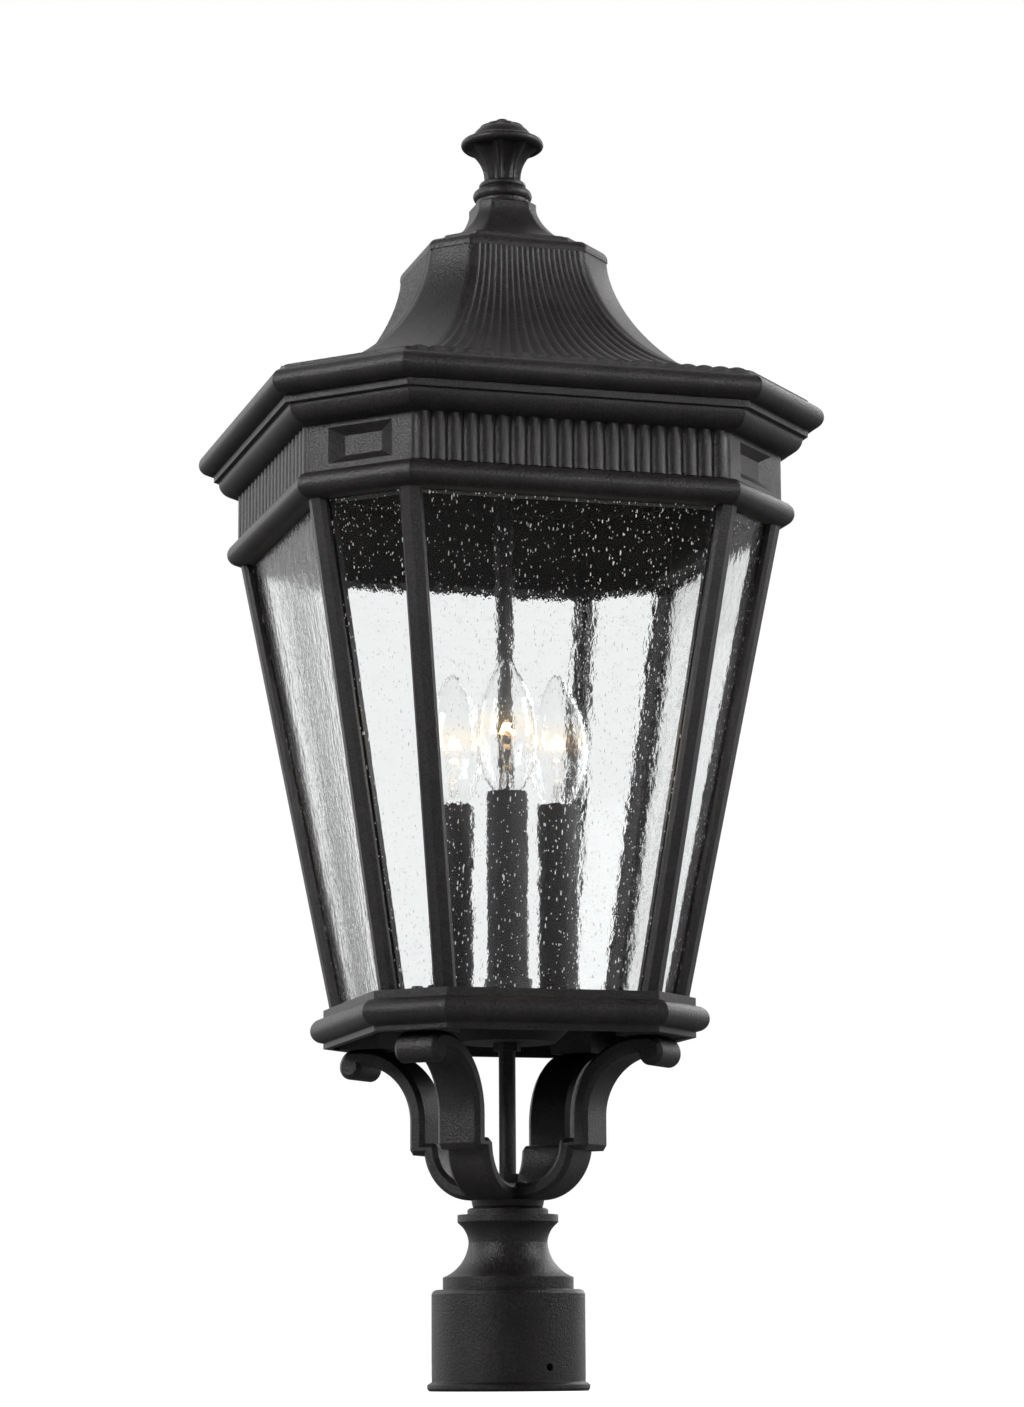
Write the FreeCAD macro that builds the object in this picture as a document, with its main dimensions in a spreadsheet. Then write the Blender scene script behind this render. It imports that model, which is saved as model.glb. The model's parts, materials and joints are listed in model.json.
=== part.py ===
"""Post top lantern with an eight-sided tapered glass cage, a reeded bell roof and a scroll bracket.

Millimetres. The origin is the centre of the post bore's mouth and +Z is up. The four long sides
of the body face -Y (front), +X, +Y and -X, and the four short sides lie between them.
A level of the body is an octagon given by two half sizes: its face, the distance from the axis to
a long side, and its side, half the length of that long side.
"""
import FreeCAD
import Part
import math
import os
import re

import Sketcher
from FreeCAD import Placement, Rotation, Vector

UP = Vector(0, 0, 1)
EIGHTH = 45
QUARTER = 90

# Driving sizes. Names that end in _z are heights above the post bore's mouth.
SIZES = {
    # post fitter
    "post_bore_r": 38.9,
    "post_bore_depth": 48.0,
    "lip_height": 5.0,
    "collar_r": 42.5,
    "collar_height": 55.0,
    "shoulder_r": 36.2,
    "shoulder_z": 61.8,
    "neck_r": 21.9,
    "neck_z": 80.7,
    "flare_r": 28.0,
    "flare_z": 91.0,
    "flare_height": 5.0,
    "step_r": 22.5,
    "fitter_z": 99.6,
    "fitter_wall": 5.0,
    "fitter_web": 9.0,
    "set_screw_r": 2.1,
    "set_screw_z": 12.8,
    "set_screw_turn": 15.7,
    # stem and its fasteners
    "stem_r": 4.7,
    "stem_bore_r": 3.4,
    "stem_gap": 0.2,
    "roof_gap": 0.5,
    "thread_gap": 0.05,
    "nut_r": 8.0,
    "nut_height": 4.5,
    "washer_r": 11.0,
    "washer_height": 1.2,
    # bracket
    "disc_r": 20.3,
    "disc_height": 4.4,
    "arm_width": 26.5,
    "arm_thick": 9.6,
    "arm_bevel": 2.4,
    "arm_knee_r": 46.9,
    "scroll_r": 42.1,
    "roll_r": 7.3,
    "pad_length": 4.3,
    "step_z": 130.0,
    "ledge_height": 6.5,
    "ledge_round": 3.5,
    "foot_r": 17.0,
    "foot_height": 8.8,
    "bowl_r": 30.5,
    "arm_screw_r": 2.0,
    "arm_screw_depth": 8.0,
    "arm_screw_half": 5.0,
    "arm_screw_inset": 1.0,
    "screw_head_r": 4.2,
    "screw_head_height": 2.8,
    # base
    "base_z": 191.0,
    "base_face": 91.5,
    "base_side": 59.5,
    "base_fillet": 3.3,
    "base_bead_r": 7.05,
    "base_height": 22.0,
    "base_skirt": 4.0,
    "base_floor": 4.6,
    "boss_depth": 14.0,
    "boss_width": 26.0,
    "boss_slope": 6.0,
    "dish_r": 44.5,
    "dish_flat_r": 27.3,
    "dish_height": 17.2,
    "dish_wall": 1.8,
    # candles
    "plate_r": 46.0,
    "plate_thick": 1.5,
    "candle_place": 34.4,
    "candle_turn": -14.8,
    "cup_r": 13.25,
    "cup_height": 9.0,
    "cup_wall": 1.2,
    "sleeve_r": 11.2,
    "sleeve_wall": 0.9,
    "sleeve_z": 328.0,
    "riser_r": 4.9,
    "riser_bore_r": 3.4,
    "socket_r": 9.4,
    "socket_bore_r": 6.15,
    "socket_height": 34.0,
    "socket_depth": 24.0,
    "socket_drop": 1.5,
    "bulb_base_r": 5.85,
    "bulb_base_height": 21.0,
    "bulb_neck_r": 6.6,
    "bulb_belly_r": 17.5,
    "bulb_belly_z": 30.0,
    "bulb_length": 76.0,
    "bulb_tip_r": 4.0,
    "bulb_wall": 0.8,
    "filament_r": 0.5,
    "filament_width": 6.0,
    "filament_z": 35.0,
    # glass cage
    "cage_foot_face": 87.6,
    "cage_foot_side": 60.0,
    "cage_head_face": 134.6,
    "cage_head_side": 91.0,
    "bar_face": 5.5,
    "bar_bevel": 2.1,
    "bar_jamb": 2.4,
    "bar_back": 5.0,
    "bar_groove": 3.0,
    "glass_thick": 3.0,
    "glass_gap": 0.3,
    # top frame
    "frame_z": 475.4,
    "frame_face": 135.5,
    "frame_side": 90.0,
    "frame_bead_r": 7.05,
    "frame_wall": 6.0,
    "frame_flange": 4.0,
    "frame_ledge": 17.0,
    "frieze_height": 26.6,
    "ovolo_step": 2.7,
    "ovolo_foot": 2.5,
    "cove_face": 150.2,
    "cove_height": 10.2,
    "frame_fillet": 4.2,
    "reed_count": 20,
    "reed_margin": 1.6,
    "reed_bulge": 2.3,
    "panel_width": 40.0,
    "panel_height": 20.0,
    "panel_side_slope": 8.5,
    "panel_end_slope": 4.5,
    "panel_depth": 3.8,
    # roof
    "eave_face": 151.5,
    "eave_side": 97.8,
    "eave_bead_r": 6.9,
    "eave_inner": 140.0,
    "eave_plate": 3.5,
    "eave_lip": 7.0,
    "lip_gap": 0.6,
    "roof_rim_face": 151.0,
    "roof_rim_side": 97.0,
    "roof_rim": 2.7,
    "roof_top_face": 53.0,
    "roof_top_side": 34.0,
    "roof_height": 91.0,
    "roof_curve": 0.63,
    "roof_wall": 3.0,
    "roof_bulge": 0.26,
    "crown_cove": 8.8,
    "crown_cove_face": 39.5,
    "crown_plate_face": 41.9,
    "crown_plate": 2.7,
    "crown_foot_face": 38.0,
    "crown_top_face": 17.4,
    "crown_ratio": 0.65,
    "crown_lip": 1.5,
    "crown_height": 22.5,
    "crown_collar": 3.4,
    "crown_end_face": 14.5,
    "crown_end": 1.5,
    "crown_curve": 0.7,
    "crown_wall": 4.0,
    # finial
    "finial_foot_r": 16.3,
    "finial_bead_r": 17.7,
    "finial_step_r": 15.2,
    "finial_neck_r": 9.8,
    "finial_cup_r": 22.0,
    "finial_rim_r": 24.4,
    "finial_dome_r": 18.2,
    "finial_button_r": 5.3,
    "finial_neck_height": 17.0,
    "finial_cup_height": 30.5,
    "finial_rim_height": 42.4,
    "flute_count": 10,
    "petal_count": 8,
    "finial_height": 53.0,
    "finial_bore_depth": 24.0,
}

doc = FreeCAD.newDocument("post_top_lantern")
sheet = doc.addObject("Spreadsheet::Sheet", "Sizes")
for row, (alias, value) in enumerate(SIZES.items(), start=1):
    sheet.set(f"A{row}", alias)
    sheet.set(f"B{row}", str(value))
    sheet.setAlias(f"B{row}", alias)
doc.recompute()


# ---------------------------------------------------------------- helpers

def cells(text):
    """A formula written with size names, as an expression that reads the sheet."""
    def swap(match):
        word = match.group(0)
        return f"Sizes.{word}" if word in SIZES else word
    return re.sub(r"[a-z_]+", swap, str(text))


def value(text):
    """The number that a formula gives now."""
    return float(sheet.evalExpression(cells(text)))


def bind(item, **formulas):
    """Ties properties of a document object to formulas."""
    for name, text in formulas.items():
        item.setExpression(name, cells(text))


def bind_place(item, x="0", y="0", z="0"):
    """Ties the position of a document object to formulas."""
    for axis, text in zip("xyz", (x, y, z)):
        item.setExpression(f".Placement.Base.{axis}", cells(text))


def turn(item, degrees):
    """Turns a document object about the lantern's axis."""
    place = item.Placement
    item.Placement = Placement(place.Base, Rotation(UP, degrees))


def arc_between(start, end, radius, bulge):
    """The shorter arc from start to end. Its bulge lies left (1) or right (-1) of the way."""
    chord = end - start
    middle = (start + end) * 0.5
    left = Vector(-chord.y, chord.x, 0).normalize()
    rise = math.sqrt(max(radius ** 2 - chord.Length ** 2 / 4, 0))
    centre = middle - left * (rise * bulge)
    first, last = (end, start) if bulge > 0 else (start, end)
    angles = [math.atan2(point.y - centre.y, point.x - centre.x) for point in (first, last)]
    circle = Part.Circle(centre, UP, radius)
    return Part.ArcOfCircle(circle, angles[0], angles[1])


def outline(sketch, points, closed=True):
    """Adds one outline. A point is (x, y), or (x, y, radius, bulge) where an arc ends."""
    corners = [Vector(value(point[0]), value(point[1]), 0) for point in points]
    edges = []
    for index, start in enumerate(corners if closed else corners[:-1]):
        following = (index + 1) % len(points)
        arc = points[following][2:]
        end = corners[following]
        if arc:
            edge = sketch.addGeometry(arc_between(start, end, value(arc[0]), arc[1]), False)
            near, far = (2, 1) if arc[1] > 0 else (1, 2)
        else:
            edge = sketch.addGeometry(Part.LineSegment(start, end), False)
            near, far = 1, 2
        edges.append((edge, near, far, arc))
    for index, (edge, near, far, arc) in enumerate(edges):
        if closed or index + 1 < len(edges):
            follower = edges[(index + 1) % len(edges)]
            sketch.addConstraint(Sketcher.Constraint("Coincident", edge, far, *follower[:2]))
        for kind, text, now in (("DistanceX", points[index][0], corners[index].x),
                                ("DistanceY", points[index][1], corners[index].y)):
            fixed = sketch.addConstraint(Sketcher.Constraint(kind, -1, 1, edge, near, now))
            sketch.setExpression(f"Constraints[{fixed}]", cells(text))
        if arc:
            fixed = sketch.addConstraint(Sketcher.Constraint("Radius", edge, value(arc[0])))
            sketch.setExpression(f"Constraints[{fixed}]", cells(arc[0]))


def circle(sketch, x, y, radius):
    """Adds one circle whose centre and radius are formulas."""
    centre = Vector(value(x), value(y), 0)
    ring = sketch.addGeometry(Part.Circle(centre, UP, value(radius)), False)
    for kind, text, now in (("DistanceX", x, centre.x), ("DistanceY", y, centre.y)):
        fixed = sketch.addConstraint(Sketcher.Constraint(kind, -1, 1, ring, 3, now))
        sketch.setExpression(f"Constraints[{fixed}]", cells(text))
    fixed = sketch.addConstraint(Sketcher.Constraint("Radius", ring, value(radius)))
    sketch.setExpression(f"Constraints[{fixed}]", cells(radius))


def octagon(face, side):
    """Corners of an octagonal level, from the middle of the front side round to the right."""
    return [("0", f"-({face})"), (side, f"-({face})"), (face, f"-({side})"), (face, side),
            (side, face), (f"-({side})", face), (f"-({face})", side), (f"-({face})", f"-({side})"),
            (f"-({side})", f"-({face})")]


def new_body(label):
    body = doc.addObject("PartDesign::Body", label)
    body.Label = label
    return body


def new_sketch(body, name, plane, height=None):
    """A sketch on one of the body's own origin planes, lifted to a height if one is given."""
    sketch = body.newObject("Sketcher::SketchObject", f"{body.Label}_{name}")
    support = next(item for item in body.Origin.OriginFeatures if item.Role == plane)
    sketch.AttachmentSupport = (support, [""])
    sketch.MapMode = "FlatFace"
    if height is not None:
        sketch.setExpression(".AttachmentOffset.Base.z", cells(height))
    return sketch


def pad(body, sketch, length, middle=False):
    feature = body.newObject("PartDesign::Pad", f"{sketch.Name}_pad")
    feature.Profile = sketch
    feature.Midplane = middle
    bind(feature, Length=length)
    return feature


def pocket(body, sketch, length, reverse=False):
    """Cuts a sketch's outline to a depth. The cut has to take something away."""
    doc.recompute()
    before = body.Shape.Volume
    feature = body.newObject("PartDesign::Pocket", f"{sketch.Name}_cut")
    feature.Profile = sketch
    feature.Reversed = reverse
    bind(feature, Length=length)
    doc.recompute()
    if body.Shape.Volume >= before:
        raise RuntimeError(f"{feature.Name} cuts nothing")
    return feature


def revolved(label, *outlines):
    """A body turned about Z from outlines given as (radius, height)."""
    body = new_body(label)
    sketch = new_sketch(body, "profile", "XZ_Plane")
    for points in outlines:
        outline(sketch, points)
    feature = body.newObject("PartDesign::Revolution", f"{label}_turned")
    feature.Profile = sketch
    feature.ReferenceAxis = (sketch, ["V_Axis"])
    feature.Angle = 360
    return body


def moulding(body, name, face, side, section):
    """Runs a section, given as (face size, height), round the octagon with mitred corners."""
    path = new_sketch(body, f"{name}_path", "XY_Plane")
    outline(path, octagon(face, side))
    profile = new_sketch(body, f"{name}_section", "YZ_Plane")
    mirrored = [(f"-({point[0]})", point[1], *flip(point[2:])) for point in section]
    outline(profile, mirrored)
    feature = body.newObject("PartDesign::AdditivePipe", f"{body.Label}_{name}")
    feature.Profile = profile
    feature.Spine = (path, [""])
    feature.Transition = "Right corner"
    return feature


def flip(arc):
    """An arc's radius and bulge after its outline is mirrored."""
    return (arc[0], -arc[1]) if arc else ()


def hexagon(radius):
    """Corners of a hexagon with a given radius."""
    return [(f"({radius}) * cos({60 * index})", f"({radius}) * sin({60 * index})")
            for index in range(6)]


def hex_nut(name, radius, bore, height, base):
    """One hexagonal nut that stands on a given height."""
    nut = doc.addObject("Part::Prism", f"{name}_blank")
    nut.Polygon = 6
    bind(nut, Circumradius=radius, Height=height)
    hole = doc.addObject("Part::Cylinder", f"{name}_bore")
    bind(hole, Radius=bore, Height=height)
    bind_place(nut, z=base)
    bind_place(hole, z=base)
    result = doc.addObject("Part::Cut", name)
    result.Base = nut
    result.Tool = hole
    return result


def tube(name, radius, bore, height, base, x="0", y="0"):
    """One round tube or washer that stands on a given height."""
    blank = doc.addObject("Part::Cylinder", f"{name}_blank")
    hole = doc.addObject("Part::Cylinder", f"{name}_hole")
    bind(blank, Radius=radius, Height=height)
    bind(hole, Radius=bore, Height=height)
    bind_place(blank, x, y, base)
    bind_place(hole, x, y, base)
    result = doc.addObject("Part::Cut", name)
    result.Base = blank
    result.Tool = hole
    return result


def group(label, items):
    """Separate solids of one kind, kept as one named sub-part."""
    result = doc.addObject("Part::Compound", label)
    result.Label = label
    result.Links = items
    return result


def level(face, side, height):
    """One octagonal level as a plain wire, from sizes in millimetres."""
    corners = [(side, -face), (face, -side), (face, side), (side, face),
               (-side, face), (-face, side), (-face, -side), (-side, -face)]
    points = [Vector(x, y, height) for x, y in corners]
    return Part.makePolygon(points + points[:1])


def flare(share, power):
    """A concave curve from 1 at share 0 to 0 at share 1, upright at its upper end."""
    return max(1 - share ** power, 0) ** (1 / power)


# Heights and reaches that several pieces share.
FLOOR_Z = "(base_z + base_height)"
CANDLE_Z = f"({FLOOR_Z} + plate_thick)"
FOOT_Z = "(fitter_z + disc_height)"
FOOT_TOP_Z = f"({FOOT_Z} + foot_height)"
PAD_R = "(arm_knee_r + scroll_r)"
SCREW_R = f"({PAD_R} + arm_screw_inset)"
FRIEZE_Z = "(frame_z + 2 * frame_bead_r)"
OVOLO_Z = f"({FRIEZE_Z} + frieze_height)"
FILLET_Z = f"({OVOLO_Z} + cove_height)"
SEAT_Z = f"({FILLET_Z} + frame_fillet)"
RIM_Z = f"({SEAT_Z} + 2 * eave_bead_r)"
BELL_Z = f"({RIM_Z} + roof_rim)"
CROWN_Z = f"({BELL_Z} + roof_height)"
PAGODA_Z = f"({CROWN_Z} + crown_cove + crown_plate + crown_lip)"
FINIAL_Z = f"({PAGODA_Z} + crown_height + crown_collar + crown_end)"

CANDLES = {"front": -QUARTER, "right": 30, "left": 150}


def candle_xy(azimuth):
    """Formulas for a candle's place, whose azimuth is counted from +X."""
    angle = f"({azimuth} + candle_turn)"
    return f"candle_place * cos({angle})", f"candle_place * sin({angle})"


# ---------------------------------------------------------------- post fitter

def post_fitter():
    """Cast collar over the post, drawn in to a waist and out again to a moulded top."""
    neck_bore = "neck_r - fitter_wall"
    body = revolved("post_fitter", [
        ("post_bore_r", "0"),
        ("collar_r + lip_height * 0.3", "0"),
        ("collar_r + lip_height / 2", "lip_height * 0.3"),
        ("collar_r + lip_height / 2", "lip_height * 0.7"),
        ("collar_r", "lip_height"),
        ("collar_r", "collar_height - 2.4"),
        ("collar_r - 0.8", "collar_height - 0.8"),
        ("collar_r - 2.4", "collar_height"),
        ("shoulder_r", "collar_height"),
        ("shoulder_r", "shoulder_z"),
        ("neck_r", "neck_z", "(shoulder_r - neck_r) * 1.55", 1),
        ("flare_r - 1", "flare_z", "(flare_z - neck_z) * 1.35", 1),
        ("flare_r", "flare_z + 1"),
        ("flare_r", "flare_z + flare_height"),
        ("step_r", "flare_z + flare_height"),
        ("step_r", "fitter_z - 1"),
        ("step_r - 1", "fitter_z"),
        ("stem_r + stem_gap", "fitter_z"),
        ("stem_r + stem_gap", "fitter_z - fitter_web"),
        (neck_bore, "fitter_z - fitter_web"),
        (neck_bore, "neck_z - 6"),
        ("shoulder_r - fitter_wall", "shoulder_z - fitter_wall"),
        ("shoulder_r - fitter_wall", "post_bore_depth"),
        ("post_bore_r", "post_bore_depth"),
    ])
    screw = new_sketch(body, "set_screw", "XZ_Plane")
    circle(screw, "0", "set_screw_z", "set_screw_r")
    hole = pocket(body, screw, "collar_r + lip_height", reverse=True)
    pattern = body.newObject("PartDesign::PolarPattern", "post_fitter_set_screws")
    pattern.Originals = [hole]
    pattern.Axis = (next(item for item in body.Origin.OriginFeatures if item.Role == "Z_Axis"), [""])
    pattern.Angle = 360
    pattern.Occurrences = 3
    body.Tip = pattern
    body.setExpression(".Placement.Rotation.Angle", cells("set_screw_turn"))
    return body


# ---------------------------------------------------------------- bracket

def bracket_disc():
    """Turned disc between the fitter and the feet of the arms."""
    return revolved("bracket_disc", [
        ("stem_r + stem_gap", "fitter_z"),
        ("disc_r - 1.6", "fitter_z"),
        ("disc_r - 0.8", "fitter_z + 0.8"),
        ("disc_r", "fitter_z + disc_height"),
        ("stem_r + stem_gap", "fitter_z + disc_height"),
    ])


def arm_outline():
    """Side view of a scroll arm, from its foot on the axis out to the roll under the base."""
    bowl_z = f"({FOOT_Z} + bowl_r)"
    outer = "arm_knee_r + arm_thick"
    scroll_z = "base_z - scroll_r"
    roll_z = "base_z - arm_thick"
    reach = f"({PAD_R} + pad_length + arm_thick)"
    roll_mid = f"({reach} - roll_r)"
    ledge_z = "step_z + ledge_height"
    inner_bowl = "(bowl_r - foot_height)"
    ledge_x = f"(foot_r + sqrt({inner_bowl} ^ 2 - ({bowl_z} - ({ledge_z}) + ledge_round) ^ 2))"
    return [
        ("0", FOOT_Z),
        ("foot_r", FOOT_Z),
        (f"foot_r + sqrt(bowl_r ^ 2 - ({bowl_z} - step_z) ^ 2)", "step_z", "bowl_r", -1),
        (f"{outer} - 2", "step_z"),
        (outer, "step_z + 3"),
        (outer, scroll_z),
        (f"{roll_mid} - roll_r", roll_z, "scroll_r - arm_thick", 1),
        (roll_mid, f"{roll_z} - roll_r", "roll_r", -1),
        (reach, roll_z, "roll_r", -1),
        (f"{reach} - arm_thick", "base_z", "arm_thick", -1),
        (PAD_R, "base_z"),
        ("arm_knee_r", scroll_z, "scroll_r", -1),
        ("arm_knee_r", ledge_z),
        (f"{ledge_x} + ledge_round", ledge_z),
        (ledge_x, f"{ledge_z} - ledge_round", "ledge_round", -1),
        ("foot_r", FOOT_TOP_Z, inner_bowl, 1),
        ("0", FOOT_TOP_Z),
    ]


def scroll_arm(label, azimuth):
    """One cast scroll arm: a bowl-shaped lower run, a stepped knee and a C-scroll with a roll."""
    body = new_body(label)
    side = new_sketch(body, "side", "XZ_Plane")
    outline(side, arm_outline())
    pad(body, side, "arm_width", middle=True)
    doc.recompute()
    bevel_long_edges(body)
    mitre = new_sketch(body, "mitre", "XY_Plane", f"{FOOT_Z} - 1")
    reach = "arm_width / 2 + 1"
    outline(mitre, [("0", "0"), (reach, reach), ("-1", reach), ("-1", f"-({reach})"),
                    (reach, f"-({reach})")])
    pocket(body, mitre, "foot_height + 2", reverse=True)
    bore = new_sketch(body, "stem_hole", "XY_Plane", f"{FOOT_Z} - 1")
    circle(bore, "0", "0", "stem_r + stem_gap")
    pocket(body, bore, "foot_height + 2", reverse=True)
    tapped = new_sketch(body, "screw_hole", "XY_Plane", "base_z")
    for side in (-1, 1):
        circle(tapped, SCREW_R, f"{side} * arm_screw_half", "arm_screw_r + 0.1")
    pocket(body, tapped, "arm_screw_depth + 1")
    turn(body, azimuth)
    return body


def bevel_long_edges(body):
    """Bevels every edge of both side faces but those of the foot."""
    half = value("arm_width") / 2
    names = []
    for index, edge in enumerate(body.Shape.Edges, start=1):
        on_side = all(abs(abs(vertex.Y) - half) < 1e-6 for vertex in edge.Vertexes)
        if on_side and edge.BoundBox.YLength < 1e-6 and edge.BoundBox.XMin > 1:
            names.append(f"Edge{index}")
    blank = body.Tip
    chamfer = body.newObject("PartDesign::Chamfer", f"{body.Label}_bevel")
    chamfer.Base = (blank, names)
    bind(chamfer, Size="arm_bevel")
    doc.recompute()


def stem():
    """Threaded pipe on the axis, from inside the fitter up through the glass cage to the finial."""
    bottom = "fitter_z - fitter_web - nut_height - 2"
    top = f"{FINIAL_Z} + finial_bore_depth - 2"
    body = tube("stem", "stem_r", "stem_bore_r", f"{top} - ({bottom})", bottom)
    body.Label = "stem_tube"
    return body


def stem_nuts():
    """Lock nuts that clamp fitter, bracket, base and candle plate to the stem."""
    seats = {
        "fitter": "fitter_z - fitter_web - nut_height",
        "bracket": f"{FOOT_TOP_Z} + washer_height",
        "dish": f"{FLOOR_Z} - base_floor - dish_height - nut_height",
        "floor": CANDLE_Z,
    }
    nuts = [hex_nut(f"nut_{name}", "nut_r", "stem_r", "nut_height", seat)
            for name, seat in seats.items()]
    return group("stem_nuts", nuts)


def stem_washer():
    """Flat washer on the feet of the arms."""
    washer = tube("washer", "washer_r", "stem_r + stem_gap", "washer_height",
                  FOOT_TOP_Z)
    washer.Label = "stem_washer"
    return washer


# ---------------------------------------------------------------- base

def base_dish():
    """Spun dish under the base's floor, round the stem."""
    top = f"({FLOOR_Z} - base_floor)"
    foot = f"{top} - dish_height"
    wall = "dish_wall"
    return revolved("base_dish", [
        ("stem_r + stem_gap", foot),
        ("dish_flat_r", foot),
        ("dish_r", top),
        (f"dish_r - {wall} * sqrt(2)", top),
        (f"dish_flat_r - {wall} * (sqrt(2) - 1)", f"{foot} + {wall}"),
        ("stem_r + stem_gap", f"{foot} + {wall}"),
    ])


def base_tray():
    """Octagonal base: a floor with a beaded skirt, open below, and a boss over each arm."""
    body = new_body("base_tray")
    bead_z = "base_z + base_fillet"
    bead_top = f"{bead_z} + 2 * base_bead_r"
    inside = "base_face - base_skirt"
    moulding(body, "rim", "base_face", "base_side", [
        (inside, "base_z"),
        ("base_face", "base_z"),
        ("base_face", bead_z),
        ("base_face + base_bead_r", f"{bead_z} + base_bead_r", "base_bead_r", -1),
        ("base_face", bead_top, "base_bead_r", -1),
        ("base_face", FLOOR_Z),
        (inside, FLOOR_Z),
    ])
    floor = new_sketch(body, "floor", "XY_Plane", f"{FLOOR_Z} - base_floor")
    inset = "base_skirt / 2"
    outline(floor, octagon(f"base_face - {inset}", f"base_side - {inset} * (sqrt(2) - 1)"))
    pad(body, floor, "base_floor")
    boss = new_sketch(body, "bosses", "XY_Plane", "base_z")
    half = "boss_width / 2"
    outer = "((base_face + base_side) / sqrt(2) - base_skirt / 2)"
    for azimuth in range(EIGHTH, 360, QUARTER):
        inner = f"({SCREW_R} - boss_depth)"
        corners = [(inner, f"-{half}"), (outer, f"-{half}"), (outer, half), (inner, half)]
        outline(boss, [turned(x, y, azimuth) for x, y in corners])
    bosses = pad(body, boss, "base_height - base_floor / 2")
    bosses.TaperAngle = value("boss_slope")
    holes = new_sketch(body, "holes", "XY_Plane", FLOOR_Z)
    circle(holes, "0", "0", "stem_r + stem_gap")
    for azimuth in range(EIGHTH, 360, QUARTER):
        for side in (-1, 1):
            circle(holes, *turned(SCREW_R, f"{side} * arm_screw_half", azimuth),
                   "arm_screw_r + 0.3")
    for azimuth in CANDLES.values():
        circle(holes, *candle_xy(azimuth), "riser_bore_r")
    pocket(body, holes, "base_height + 1")
    return body


def turned(x, y, azimuth):
    """A point given by formulas, turned about the axis."""
    return (f"({x}) * cos({azimuth}) - ({y}) * sin({azimuth})",
            f"({x}) * sin({azimuth}) + ({y}) * cos({azimuth})")


def pan_screw(name, x, y, seat, length):
    """One screw whose head stands on a seat."""
    shank = doc.addObject("Part::Cylinder", f"{name}_shank")
    head = doc.addObject("Part::Cone", f"{name}_head")
    bind(shank, Radius="arm_screw_r", Height=length)
    bind(head, Radius1="screw_head_r", Radius2="screw_head_r * 0.7", Height="screw_head_height")
    bind_place(shank, x, y, f"{seat} - ({length})")
    bind_place(head, x, y, seat)
    screw = doc.addObject("Part::Fuse", name)
    screw.Base = shank
    screw.Tool = head
    return screw


def arm_screws():
    """Two screws for each arm, from the floor down through the boss."""
    screws = []
    for azimuth in range(EIGHTH, 360, QUARTER):
        for side in (-1, 1):
            place = turned(SCREW_R, f"{side} * arm_screw_half", azimuth)
            screws.append(pan_screw(f"arm_screw_{azimuth}_{side + 1}", *place, FLOOR_Z,
                                    "base_height + arm_screw_depth"))
    return group("arm_screws", screws)


# ---------------------------------------------------------------- candles

def candle_plate():
    """Round plate on the stem that carries the candles."""
    body = new_body("candle_plate")
    sketch = new_sketch(body, "plate", "XY_Plane", FLOOR_Z)
    circle(sketch, "0", "0", "plate_r")
    circle(sketch, "0", "0", "stem_r + stem_gap")
    for azimuth in CANDLES.values():
        circle(sketch, *candle_xy(azimuth), "riser_bore_r")
    pad(body, sketch, "plate_thick")
    return body


def place_candle(body, azimuth):
    """Moves a body that was turned about Z out to its candle's place."""
    x, y = candle_xy(azimuth)
    bind_place(body, x, y)
    return body


def candle_cup(name, azimuth):
    """Turned cup that the sleeve stands in."""
    foot = CANDLE_Z
    body = revolved(f"cup_{name}", [
        ("riser_bore_r", foot),
        ("cup_r - 2.4", foot),
        ("cup_r - 0.7", f"{foot} + 0.7"),
        ("cup_r", f"{foot} + 2.4"),
        ("cup_r", f"{foot} + cup_height"),
        ("cup_r - cup_wall", f"{foot} + cup_height"),
        ("cup_r - cup_wall", f"{foot} + cup_wall + 0.6"),
        ("cup_r - cup_wall - 0.6", f"{foot} + cup_wall"),
        ("riser_bore_r", f"{foot} + cup_wall"),
    ])
    return place_candle(body, azimuth)


def sleeve(name, azimuth):
    """Candle sleeve over the socket."""
    foot = f"{CANDLE_Z} + cup_wall"
    body = revolved(f"sleeve_{name}", [
        ("sleeve_r - sleeve_wall", foot),
        ("sleeve_r", foot),
        ("sleeve_r", "sleeve_z - 0.4"),
        ("sleeve_r - 0.4", "sleeve_z"),
        ("sleeve_r - sleeve_wall", "sleeve_z"),
    ])
    return place_candle(body, azimuth)


def riser(name, azimuth):
    """Threaded tube between the cup and the socket."""
    foot = f"{CANDLE_Z} + cup_wall"
    body = revolved(f"riser_{name}", [
        ("riser_bore_r", foot),
        ("riser_r", foot),
        ("riser_r", "sleeve_z - socket_drop - socket_height"),
        ("riser_bore_r", "sleeve_z - socket_drop - socket_height"),
    ])
    return place_candle(body, azimuth)


def socket(name, azimuth):
    """Lamp socket with a blind bore for the bulb's base."""
    top = "sleeve_z - socket_drop"
    body = revolved(f"socket_{name}", [
        ("0", f"{top} - socket_height"),
        ("socket_r - 1", f"{top} - socket_height"),
        ("socket_r", f"{top} - socket_height + 1"),
        ("socket_r", top),
        ("socket_bore_r", top),
        ("socket_bore_r", f"{top} - socket_depth"),
        ("0", f"{top} - socket_depth"),
    ])
    return place_candle(body, azimuth)


def bulb_base(name, azimuth):
    """Screw base of a bulb, with its contact at the bottom."""
    top = "sleeve_z - socket_drop"
    foot = f"{top} - bulb_base_height"
    body = revolved(f"bulb_base_{name}", [
        ("0", foot),
        ("bulb_base_r * 0.35", foot),
        ("bulb_base_r", f"{foot} + 3"),
        ("bulb_base_r", top),
        ("0", top),
    ])
    return place_candle(body, azimuth)


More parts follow.
